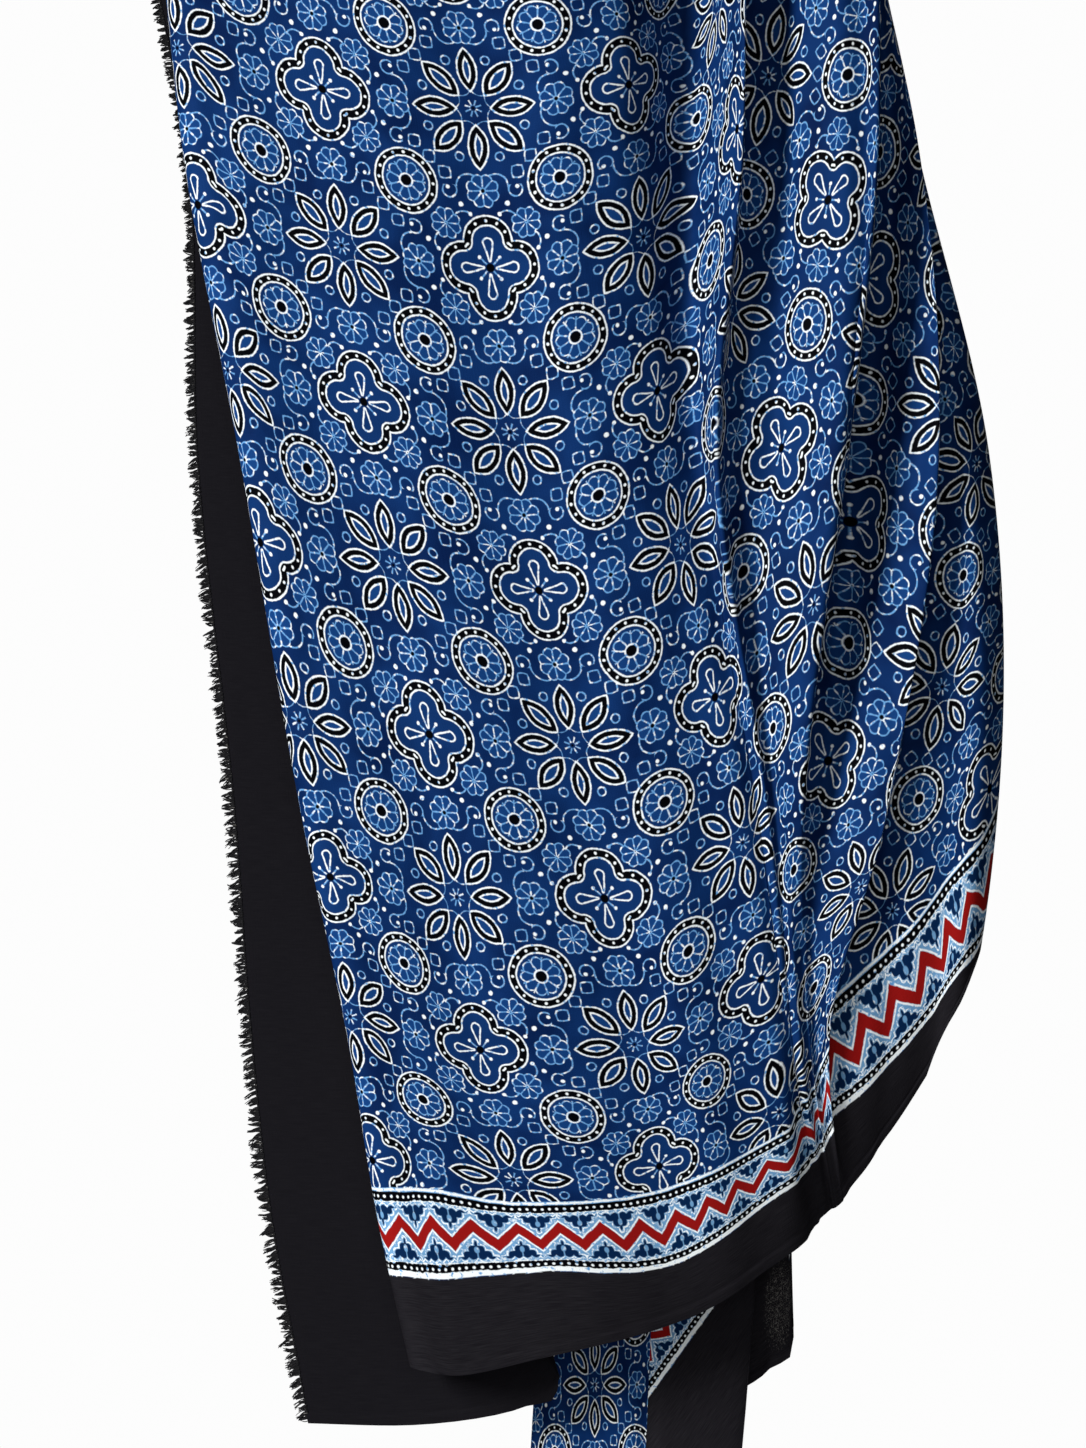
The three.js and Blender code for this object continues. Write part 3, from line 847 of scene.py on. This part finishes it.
def draw_border(pattern, across, height, grain):
    """The border's inks, each from 0 to 1: white, pale ground, black, red and club blue."""
    pattern.begin("Border stripes")
    size = BORDER
    side = height - size["middle"]
    out = abs(side)
    upper = pattern.maths("SIGN", side)
    soft = size["soft"]
    specks = grain - 0.5
    dots = pattern.length(pattern.fold(across, size["dot_step"]), out - size["black"]) - size["dot"]
    broken = outline(out, size["broken_half"], size["broken"]) + upper * size["thinner_above"]
    broken = broken + specks * size["broken_specks"]
    lace = outline(out, size["lace_half"], size["lace"]) + specks * size["lace_specks"]
    white = pattern.least(lace, dots, broken)
    black = outline(out, size["black_half"], size["black"])
    within = pattern.ramp(out - size["edge"], soft, -soft)
    ground = pattern.ramp(out - size["ground"], soft, -soft)

    pattern.begin("Zigzag and clubs")
    size = ZIGZAG
    sweep = pattern.fold(across, size["half_period"]) - size["height"]
    band = abs(side - sweep) * size["slope"]
    red = pattern.ramp(band - size["red"], soft, -soft)
    zigzag_edge = outline(band, size["white_half"], size["white"]) + specks * size["white_specks"]
    white = pattern.least(white, zigzag_edge)
    size = CLUB
    beside = sweep * upper + ZIGZAG["height"]
    along_slant = scallops(pattern, (beside + out) * ZIGZAG["slope"], size["lobe"])
    along_top = scallops(pattern, beside, size["lobe"])
    slant = (beside - out + size["tip_up"]) * ZIGZAG["slope"] + along_slant * size["swell"]
    lobes = pattern.most(slant, out - size["top"] + along_top * size["swell"])
    long_drop = pattern.vector(beside, (out - size["drop_up"]) * (1 / size["drop_long"]))
    drop = pattern.vector_maths("LENGTH", long_drop) - size["drop_size"]
    stem = pattern.most(beside - size["stem"], size["drop_up"] - out)
    club = pattern.ramp(pattern.most(lobes, -pattern.least(drop, stem)), soft, -soft)
    edging = outline(lobes, size["rim_half"], size["rim"]) + specks * size["rim_specks"]
    white = pattern.least(white, pattern.most(edging, out - BORDER["ground"]))
    return dict(white=pattern.ramp(white, soft, -soft), black=pattern.ramp(black, soft, -soft),
                within=within, ground=ground, red=red, club=club)


# How unevenly the print was laid by hand. In repeats: the wander of its lines, the bleed of its
# dyes and the blur of its edges. fine: about how many grains of each unevenness lie in a repeat.
LAID = dict(wander=0.012, wander_fine=7.0, bleed=0.006, bleed_fine=42.0, grain_fine=26.0,
            mottle_fine=2.3, blur=0.0035)
DEEP_DYE = (0.30, 0.70)  # the mottle's range over which the ground goes from deep to light
WORN_LINE = (0.50, 0.66)  # the grain's range over which a fine line goes from blue to cream
WORN_WHITE = (0.26, 0.40)  # and a white one
WORN_GROUND = (0.60, 0.85)  # and the border's ground
MOTIF_FILL = 0.35  # how much of the middle blue lies inside flowers and medallions

# The plain black weave: how fine its slubs and warp are, each way in a repeat, and its relief; and how
# strongly painted shade darkens the plain end panel behind.
WEAVE = dict(slub=(6, 170, 0), warp=(190, 5, 0), slub_range=(0.3, 0.75), panel_shade_share=0.7,
             bump=0.35, thread_rise=0.0004)
# Where the flap is thin and crumpled, and painted light shows through its weave as pale specks: in repeats
# across, and in millimetres above the hem.
LIGHT_THROUGH_THIN_PATCH = dict(at=10.34, half_width=0.24, up=42, half_height=32, crumple=(1.0, 1.7, 0),
                  crumple_fine=30.0, line=0.010, ragged=0.8, share=0.8)


def new_material(name):
    material = bpy.data.materials.new(name)
    material.use_nodes = True
    material.node_tree.nodes.clear()
    return material, Pattern(material.node_tree)


def surface(pattern, colour, roughness):
    """The shader that carries the colour, led to the material's output."""
    pattern.begin("Surface")
    shader = pattern.node("ShaderNodeBsdfPrincipled")
    pattern.feed(shader.inputs["Base Color"], colour)
    shader.inputs["Roughness"].default_value = roughness
    output = pattern.node("ShaderNodeOutputMaterial")
    pattern.feed(output.inputs[0], shader.outputs[0])
    return shader


def hand_laid(pattern, looks):
    """Where the print lies on the cloth, with the unevenness of printing by hand."""
    pattern.begin("Where the print lies")
    print_map = pattern.node("ShaderNodeUVMap", uv_map="Print")
    place = Value(pattern, print_map.outputs[0])
    wander = pattern.noise(place, LAID["wander_fine"], 1.0, colour=True)
    wander = pattern.vector_maths("SUBTRACT", wander, (0.5, 0.5, 0.5))
    wander = pattern.vector_maths("MULTIPLY", wander, (LAID["wander"], LAID["wander"], 0))
    grain = pattern.noise(place, LAID["grain_fine"], 2.0)
    return SimpleNamespace(
        place=place,
        hand=pattern.vector_maths("ADD", place, wander),
        bleed=pattern.noise(place, LAID["bleed_fine"], 1.0) - 0.5,
        mottle=pattern.noise(place, LAID["mottle_fine"], 3.0),
        grain=grain,
        line=pattern.mix(pattern.ramp(grain, *WORN_LINE), looks.pale_blue, looks.cream),
        white=pattern.mix(pattern.ramp(grain, *WORN_WHITE), looks.pale_blue, looks.cream),
    )


def field_colour(pattern, looks, laid):
    """The printed field: its motifs in each ink, over the dyed ground."""
    halves = pattern.turned(laid.hand, 45, 1 / math.sqrt(2))
    inks = Inks(pattern)
    flower_inside = draw_quatrefoils(pattern, inks, halves)
    draw_stars(pattern, inks, halves)
    ring_inside = draw_medallions(pattern, inks, laid.hand)

    pattern.begin("Field colours")
    blur = LAID["blur"]
    spread = laid.bleed * LAID["bleed"]
    white = pattern.ramp(inks.cover["white"] + spread, blur, -blur)
    pale = pattern.ramp(inks.cover["pale"] + spread, blur, -blur)
    black = pattern.ramp(inks.cover["black"], blur, -blur)
    mid = pattern.ramp(inks.cover["mid"], blur, -blur)
    inside = pattern.ramp(pattern.least(flower_inside, ring_inside), blur, -blur) * MOTIF_FILL
    colour = pattern.mix(pattern.ramp(laid.mottle, *DEEP_DYE), looks.field_deep, looks.field)
    colour = pattern.mix(pattern.most(mid, inside), colour, looks.mid_blue)
    colour = pattern.mix(pale, colour, laid.line)
    colour = pattern.mix(black, colour, looks.print_black)
    return pattern.mix(white, colour, laid.white)


def border_over(pattern, looks, laid, field, across, height):
    """The border's colours, laid over the field."""
    border = draw_border(pattern, across, height, laid.grain)
    pattern.begin("Border colours")
    ground = pattern.mix(pattern.ramp(laid.grain, *WORN_GROUND), looks.border_blue, looks.cream)
    ground = pattern.mix(border["club"], ground, looks.club_blue)
    ground = pattern.mix(border["red"], ground, looks.red)
    colour = pattern.mix(border["black"], laid.line, looks.print_black)
    colour = pattern.mix(border["ground"], colour, ground)
    colour = pattern.mix(border["white"], colour, laid.white)
    return pattern.mix(border["within"], field, colour)


def plain_over(pattern, looks, laid, printed, height):
    """The plain black margin, panel and flap over the print, with painted shade on the panel and painted
    light through the flap's thin patch; and the weave's height.
    """
    pattern.begin("Plain black cloth")
    across, _ = pattern.parts(laid.place)
    margin = pattern.ramp(height, MARGIN_TOP + 0.5, MARGIN_TOP - 0.5)
    panel = pattern.ramp(across, BLACK_BELOW, BLACK_BELOW - 0.01)
    flap = pattern.most(BLACK_FROM - across, across - TAIL_FROM)
    plain = pattern.most(margin, panel, pattern.ramp(flap, 0.01, -0.01))
    slub = pattern.noise(pattern.vector_maths("MULTIPLY", laid.place, WEAVE["slub"]), 1.0, 2.0)
    warp = pattern.noise(pattern.vector_maths("MULTIPLY", laid.place, WEAVE["warp"]), 1.0, 2.0)
    slubs = pattern.ramp(slub, *WEAVE["slub_range"])
    colour = pattern.mix(slubs, looks.cloth_black, looks.cloth_grey)
    # Painted shade: the plain end panel, which hangs behind, is darkened to a deeper black than the
    # margin.
    deeper = pattern.ramp(across, BLACK_BELOW + 0.1, BLACK_BELOW - 0.1) * WEAVE["panel_shade_share"]
    colour = pattern.mix(deeper, colour, looks.panel_shade_black)

    pattern.begin("Painted light through the thin flap")
    size = LIGHT_THROUGH_THIN_PATCH
    crumple_map = pattern.vector_maths("MULTIPLY", laid.place, size["crumple"])
    crumple = outline(pattern.noise(crumple_map, size["crumple_fine"], 3.0), size["line"], 0.5)
    aside = (across - size["at"]) * (1 / size["half_width"])
    above = (height - size["up"]) * (1 / size["half_height"])
    thin = pattern.ramp(pattern.length(aside, above) + laid.bleed * size["ragged"], 1.0, 0.7)
    # Painted light: pale specks along the crumples, where light shows through the thin weave.
    specks = pattern.ramp(crumple, 0.012, -0.004) * thin * size["share"]
    colour = pattern.mix(specks, colour, looks.painted_light_grey)
    return pattern.mix(plain, printed, colour), slub + warp


def printed_silk(looks):
    """The cloth's material: the print, its border, the plain margin and the black panel."""
    material, pattern = new_material("block_printed_silk")
    laid = hand_laid(pattern, looks)
    field = field_colour(pattern, looks, laid)
    u, v = pattern.parts(laid.hand)
    height = v * REPEAT + FIRST_ROW
    printed = border_over(pattern, looks, laid, field, u * REPEAT, height)
    colour, weave = plain_over(pattern, looks, laid, printed, height)
    shader = surface(pattern, colour, looks.roughness)
    shader.inputs["Specular IOR Level"].default_value = looks.gloss
    shader.inputs["Sheen Weight"].default_value = looks.sheen
    shader.inputs["Sheen Roughness"].default_value = 0.5
    bump = pattern.node("ShaderNodeBump")
    bump.inputs["Strength"].default_value = WEAVE["bump"]
    bump.inputs["Distance"].default_value = WEAVE["thread_rise"]
    pattern.feed(bump.inputs["Height"], weave)
    pattern.feed(shader.inputs["Normal"], bump.outputs[0])
    return material


# The loose threads: how fine their tones change, in changes to the metre, and how many are grey, the grey
# being painted glints of light on them.
THREADS = dict(fine=(200, 200, 900), grey=(0.66, 0.76), roughness=0.8)


def frayed_silk(looks):
    """The loose threads' material: black, with grey ones among them that paint the glints of light on the
    threads.
    """
    material, pattern = new_material("frayed_black_silk")
    pattern.begin("Threads")
    coordinates = pattern.node("ShaderNodeTexCoord")
    place = pattern.vector_maths("MULTIPLY", coordinates.outputs["Object"], THREADS["fine"])
    tone = pattern.noise(place, 1.0, 1.0, dimensions="3D")
    # Painted highlight: grey threads stand for glints of light on the twisted loose threads.
    colour = pattern.mix(pattern.ramp(tone, *THREADS["grey"]), looks.cloth_black, looks.painted_light_grey)
    surface(pattern, colour, THREADS["roughness"])
    return material


# ---------------------------------------------------------------- settings and operators


def tint(name, description, default):
    return bpy.props.FloatVectorProperty(
        name=name, description=description, default=(*default, 1.0), size=4, min=0, max=1,
        subtype="COLOR")


class SILK_PG_cloth(bpy.types.PropertyGroup):
    """Sizes of the hung cloth's mesh and of its frayed edge."""

    front_step: bpy.props.FloatProperty(
        name="Front step", description="Width of one face along the printed front's folds",
        default=0.0034, min=0.001, unit="LENGTH")
    back_step: bpy.props.FloatProperty(
        name="Back step", description="Width of one face on the layers behind",
        default=0.009, min=0.002, unit="LENGTH")
    rows: bpy.props.IntProperty(
        name="Rows", description="Faces from above the hem to the top edge", default=222, min=40)
    tuft_pitch: bpy.props.FloatProperty(
        name="Tuft pitch", description="From one tuft of loose threads to the next",
        default=0.0037, min=0.001, unit="LENGTH")
    tuft_threads: bpy.props.IntProperty(
        name="Threads in a tuft", description="Loose threads in each tuft", default=10, min=1)
    thread_length: bpy.props.FloatProperty(
        name="Thread length", description="How far the loose threads reach",
        default=0.0084, min=0.001, unit="LENGTH")
    thread_width: bpy.props.FloatProperty(
        name="Thread width", description="Thickness of one loose thread",
        default=0.0012, min=0.0001, unit="LENGTH")


class SILK_PG_looks(bpy.types.PropertyGroup):
    """Colours and finish of the printed silk."""

    field: tint("Field", "The indigo ground", (0.0038, 0.0260, 0.1150))
    field_deep: tint("Deep field", "The ground where the dye took more strongly", (0.0018, 0.0115, 0.0600))
    mid_blue: tint("Middle blue", "Fill of the wheels and petals", (0.0055, 0.0390, 0.1560))
    pale_blue: tint("Pale blue", "Fine drawn lines", (0.130, 0.330, 0.620))
    cream: tint("Cream", "The undyed silk in lines and dots", (0.860, 0.910, 0.920))
    print_black: tint("Print black", "Black outlines and rings", (0.0008, 0.0010, 0.0020))
    cloth_black: tint("Cloth black", "Plain margin and panel", (0.0085, 0.0078, 0.0100))
    cloth_grey: tint("Cloth grey", "Slubs in the plain black cloth", (0.0165, 0.0155, 0.0185))
    # Painted shade: the panel behind gets a darker black than the margin.
    panel_shade_black: tint("Panel shade black", "The plain end panel, darkened by painted shade", (0.0070, 0.0066, 0.0085))
    red: tint("Red", "The border's zigzag", (0.270, 0.0070, 0.0065))
    border_blue: tint("Border blue", "The border's pale ground", (0.140, 0.310, 0.530))
    club_blue: tint("Club blue", "The small clubs in the border", (0.0022, 0.0165, 0.0640))
    # Painted highlight and light: the fray's glints, and the light through the flap's thin patch.
    painted_light_grey: tint("Painted light grey", "Painted glints in the fray and light through the thin flap", (0.250, 0.240, 0.220))
    roughness: bpy.props.FloatProperty(
        name="Roughness", description="How matt the silk is", default=0.55, min=0, max=1)
    gloss: bpy.props.FloatProperty(
        name="Gloss", description="Strength of the silk's reflection", default=0.012, min=0, max=1)
    sheen: bpy.props.FloatProperty(
        name="Sheen", description="Soft brightening at grazing angles", default=0.0, min=0, max=1)


class SILK_PG_studio(bpy.types.PropertyGroup):
    """The stage: camera distance and lights."""

    camera_distance: bpy.props.FloatProperty(
        name="Camera distance", description="From the cloth to the camera",
        default=4.0, min=1, unit="LENGTH")
    view_height: bpy.props.FloatProperty(
        name="View height", description="Height of the cloth that the picture takes in",
        default=1.0136, min=0.1, unit="LENGTH")
    key_power: bpy.props.FloatProperty(
        name="Key light", description="Power of the large soft light", default=138, min=0,
        unit="POWER")
    fill_strength: bpy.props.FloatProperty(
        name="Fill", description="Strength of the light from all round", default=0.065, min=0)


def mesh_object(name, mesh, material):
    thing = bpy.data.objects.new(name, mesh)
    bpy.context.scene.collection.objects.link(thing)
    mesh.materials.append(material)
    for face in mesh.polygons:
        face.use_smooth = True
    return thing


# The export's map: where it starts, where the printed front starts and ends, and its end.
BAKE_MARKS = [0.002, 0.08, 0.74, 0.998]


def cloth_mesh(settings):
    """The hung sheet: a grid laid on the section's folds, with the print's own map."""
    front_step, back_step = settings.front_step / MM, settings.back_step / MM
    columns, hems, curls = mesh_columns(front_step, back_step)
    hem_rows = np.linspace(0, HEM["part"], HEM["rows"] + 1)
    heights = np.append(hem_rows[:-1], np.linspace(HEM["part"], 1, settings.rows + 1))
    points, drops = hung_section(columns, hems, curls, heights)
    u, v, before_crease = print_places(columns, hems, curls, points, drops)
    up = np.gradient(points, axis=1)
    aside = np.gradient(points, axis=0)
    normals = np.cross(up, aside)
    normals[:, -1, 2] = 0
    normals /= np.linalg.norm(normals, axis=-1, keepdims=True)
    relief = rise_of_fabric(u, v, points, hems, drops)
    points = points + normals * normals[..., 1:2] * relief[..., None]
    count, rows = drops.shape

    shape = bmesh.new()
    bmesh.ops.create_grid(shape, x_segments=count - 1, y_segments=rows - 1, size=0.5)
    print_layer = shape.loops.layers.uv.new("Print")
    bake_layer = shape.loops.layers.uv.new("OFBake")
    shape.verts.ensure_lookup_table()
    spread = bake_spread(columns, points)
    climb = np.interp(heights, [0, 1], [BAKE_MARKS[0], BAKE_MARKS[-1]])
    for face in shape.faces:
        middle = face.calc_center_median().x
        for loop in face.loops:
            c = round((loop.vert.co.x + 0.5) * (count - 1))
            r = round((loop.vert.co.y + 0.5) * (rows - 1))
            place = (u[c, r], v[c, r])
            if c in before_crease and middle < loop.vert.co.x:
                place = (before_crease[c][0][r], before_crease[c][1][r])
            loop[print_layer].uv = place
            loop[bake_layer].uv = (spread[c], climb[r])
    for vertex in shape.verts:
        c = round((vertex.co.x + 0.5) * (count - 1))
        r = round((vertex.co.y + 0.5) * (rows - 1))
        vertex.co = points[c, r] * MM
    mesh = bpy.data.meshes.new("printed_silk_sheet")
    shape.to_mesh(mesh)
    shape.free()
    return mesh


def bake_spread(columns, points):
    """Each column's share of the export's map, most of it for the printed front."""
    names = [FOLDS[index]["at"] for index, _ in KNOTS]
    first = names.index(FRONT[0])
    last = len(names) - names[::-1].index(FRONT[1]) - 1
    along = arc_lengths(points)
    middle = along[:, along.shape[1] // 2]
    starts = {span: c for c, (span, fraction) in enumerate(columns) if fraction == 0}
    marks = [middle[0], middle[starts[first]], middle[starts[last]], middle[-1]]
    return np.interp(middle, marks, BAKE_MARKS)


# The fray. Shares of the thread length: a tuft's reach, more lower down, its lean, and a thread's
# reach in it. Millimetres: how far a tuft's tips spread, and a thread's bow and drift.
FRAY = dict(seed=11, tuft=(0.7, 1.1), at_top=0.85, more_below=0.35, lean=(-0.15, 0.75),
            spread=(0.2, 1.4), thread=(0.65, 1.0), bow=1.2, drift=1.5, thickness=(0.7, 1.3),
            taper=0.45, between=(0.75, 1.25), root=1)
LOWEST = -1074  # no thread reaches below this, in millimetres


def fringe_mesh(settings):
    """Loose threads along the frayed edge, in tufts that lean down."""
    edge_knot = KNOTS[0]
    hem = FOLDS[0]["hem"]
    random = np.random.default_rng(FRAY["seed"])
    shape = bmesh.new()
    long, pitch = settings.thread_length / MM, settings.tuft_pitch / MM
    drop = 1.0
    while drop < hem - 1:
        low = drop / hem
        x, y = knot_point(edge_knot, np.array([drop]))[0]
        tuft_reach = long * random.uniform(*FRAY["tuft"])
        tuft_reach *= FRAY["at_top"] + FRAY["more_below"] * low
        tuft_lean = random.uniform(*FRAY["lean"]) * tuft_reach * (0.5 + 0.5 * low)
        tip_spread = random.uniform(*FRAY["spread"])
        for _ in range(settings.tuft_threads):
            offset = random.uniform(-0.5, 0.5) * pitch
            tip = random.normal() * tip_spread
            reach = tuft_reach * random.uniform(*FRAY["thread"])
            bow = random.uniform(-FRAY["bow"], FRAY["bow"])
            drift = random.uniform(-FRAY["drift"], FRAY["drift"])
            thick = settings.thread_width * random.uniform(*FRAY["thickness"]) / 2
            made = bmesh.ops.create_grid(shape, x_segments=3, y_segments=5, size=0.5)
            for vertex in made["verts"]:
                t = vertex.co.y + 0.5
                angle = 2 * math.pi * vertex.co.x
                radius = thick * (1 - FRAY["taper"] * t * t)
                side = offset * (1 - t) + tip * t + bow * math.sin(math.pi * t)
                height = max(-drop + side - tuft_lean * t ** 1.5, LOWEST)
                vertex.co = (
                    (x + FRAY["root"] - t * reach) * MM,
                    (y + drift * t * t) * MM + radius * math.cos(angle),
                    height * MM + radius * math.sin(angle),
                )
        drop += pitch * random.uniform(*FRAY["between"])
    mesh = bpy.data.meshes.new("frayed_threads")
    shape.to_mesh(mesh)
    shape.free()
    return mesh


# The stage, in metres.
FLOOR = dict(reach=1.2, height=-1.25, tone=(0.8, 0.8, 0.8, 1), roughness=0.9)
LOOK_AT = (0.0161, 0.0, -0.532)
SENSOR = 36.0  # the camera's, in millimetres
SEEN_WHITE = 0.98
# Each light's name, place, breadth and height, and share of the key light's power.
LIGHTS = [
    ("key", (-2.3, -2.0, 0.3), (0.8, 1.2), 1.0),
    ("front", (0.4, -3.2, 0.3), (1.6, 1.6), 0.11),
]


class SILK_OT_hang_cloth(bpy.types.Operator):
    """Hang the printed silk in its folds"""

    bl_idname = "silk.hang_cloth"
    bl_label = "Hang the cloth"

    def execute(self, context):
        mesh = cloth_mesh(context.scene.silk_cloth)
        cloth = mesh_object("hung_silk", mesh, printed_silk(context.scene.silk_looks))
        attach(cloth, "root")
        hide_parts("printed_cloth")
        return {"FINISHED"}


class SILK_OT_fray_edge(bpy.types.Operator):
    """Fray the cloth's raw edge into loose threads"""

    bl_idname = "silk.fray_edge"
    bl_label = "Fray the edge"

    def execute(self, context):
        threads = mesh_object("frayed_threads", fringe_mesh(context.scene.silk_cloth),
                              frayed_silk(context.scene.silk_looks))
        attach(threads, "root")
        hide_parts("frayed_fringe")
        return {"FINISHED"}


class SILK_OT_set_stage(bpy.types.Operator):
    """Set the floor, the soft lights and the camera"""

    bl_idname = "silk.set_stage"
    bl_label = "Set the stage"

    def execute(self, context):
        settings = context.scene.silk_studio
        floor = bpy.data.meshes.new("floor")
        shape = bmesh.new()
        bmesh.ops.create_grid(shape, x_segments=1, y_segments=1, size=FLOOR["reach"])
        bmesh.ops.translate(shape, vec=(0, 0, FLOOR["height"]), verts=shape.verts)
        shape.to_mesh(floor)
        shape.free()
        pale = bpy.data.materials.new("pale_floor")
        pale.use_nodes = True
        shader = pale.node_tree.nodes["Principled BSDF"]
        shader.inputs["Base Color"].default_value = FLOOR["tone"]
        shader.inputs["Roughness"].default_value = FLOOR["roughness"]
        mesh_object("floor", floor, pale)

        for name, place, size, power in LIGHTS:
            lamp = bpy.data.lights.new(name, "AREA")
            lamp.shape = "RECTANGLE"
            lamp.size, lamp.size_y = size
            lamp.energy = power * settings.key_power
            light = bpy.data.objects.new(name, lamp)
            light.location = place
            aim = Vector(LOOK_AT) - Vector(place)
            light.rotation_euler = aim.to_track_quat("-Z", "Y").to_euler()
            context.scene.collection.objects.link(light)

        world = bpy.data.worlds.new("studio")
        world.use_nodes = True
        nodes, links = world.node_tree.nodes, world.node_tree.links
        fill = nodes["Background"]
        fill.inputs["Color"].default_value = (1, 1, 1, 1)
        fill.inputs["Strength"].default_value = settings.fill_strength
        seen = nodes.new("ShaderNodeBackground")
        seen.inputs["Color"].default_value = (1, 1, 1, 1)
        seen.inputs["Strength"].default_value = SEEN_WHITE
        path = nodes.new("ShaderNodeLightPath")
        mix = nodes.new("ShaderNodeMixShader")
        links.new(path.outputs["Is Camera Ray"], mix.inputs[0])
        links.new(fill.outputs[0], mix.inputs[1])
        links.new(seen.outputs[0], mix.inputs[2])
        links.new(mix.outputs[0], nodes["World Output"].inputs[0])
        context.scene.world = world
        context.scene.view_settings.view_transform = "Standard"

        lens = bpy.data.cameras.new("camera")
        lens.sensor_fit = "VERTICAL"
        lens.sensor_height = SENSOR
        lens.lens = SENSOR * settings.camera_distance / settings.view_height
        camera = bpy.data.objects.new("camera", lens)
        camera.location = (LOOK_AT[0], -settings.camera_distance, LOOK_AT[2])
        camera.rotation_euler = (math.radians(90), 0, 0)
        context.scene.collection.objects.link(camera)
        context.scene.camera = camera
        return {"FINISHED"}


class SILK_PT_panel(bpy.types.Panel):
    """The steps that make the cloth, in order"""

    bl_label = "Hung silk"
    bl_idname = "SILK_PT_panel"
    bl_space_type = "VIEW_3D"
    bl_region_type = "UI"
    bl_category = "Silk"

    def draw(self, context):
        for operator in (SILK_OT_hang_cloth, SILK_OT_fray_edge, SILK_OT_set_stage):
            self.layout.operator(operator.bl_idname)
        for group in ("silk_cloth", "silk_looks", "silk_studio"):
            settings = getattr(context.scene, group)
            box = self.layout.box()
            for name in settings.bl_rna.properties.keys():
                if name not in ("rna_type", "name"):
                    box.prop(settings, name)


CLASSES = (SILK_PG_cloth, SILK_PG_looks, SILK_PG_studio, SILK_OT_hang_cloth, SILK_OT_fray_edge,
           SILK_OT_set_stage, SILK_PT_panel)


def register():
    for item in CLASSES:
        bpy.utils.register_class(item)
    bpy.types.Scene.silk_cloth = bpy.props.PointerProperty(type=SILK_PG_cloth)
    bpy.types.Scene.silk_looks = bpy.props.PointerProperty(type=SILK_PG_looks)
    bpy.types.Scene.silk_studio = bpy.props.PointerProperty(type=SILK_PG_studio)


def unregister():
    del bpy.types.Scene.silk_studio
    del bpy.types.Scene.silk_looks
    del bpy.types.Scene.silk_cloth
    for item in reversed(CLASSES):
        bpy.utils.unregister_class(item)


def main():
    register()
    bpy.ops.silk.hang_cloth()
    bpy.ops.silk.fray_edge()
    bpy.ops.silk.set_stage()


if __name__ == "__main__":
    main()
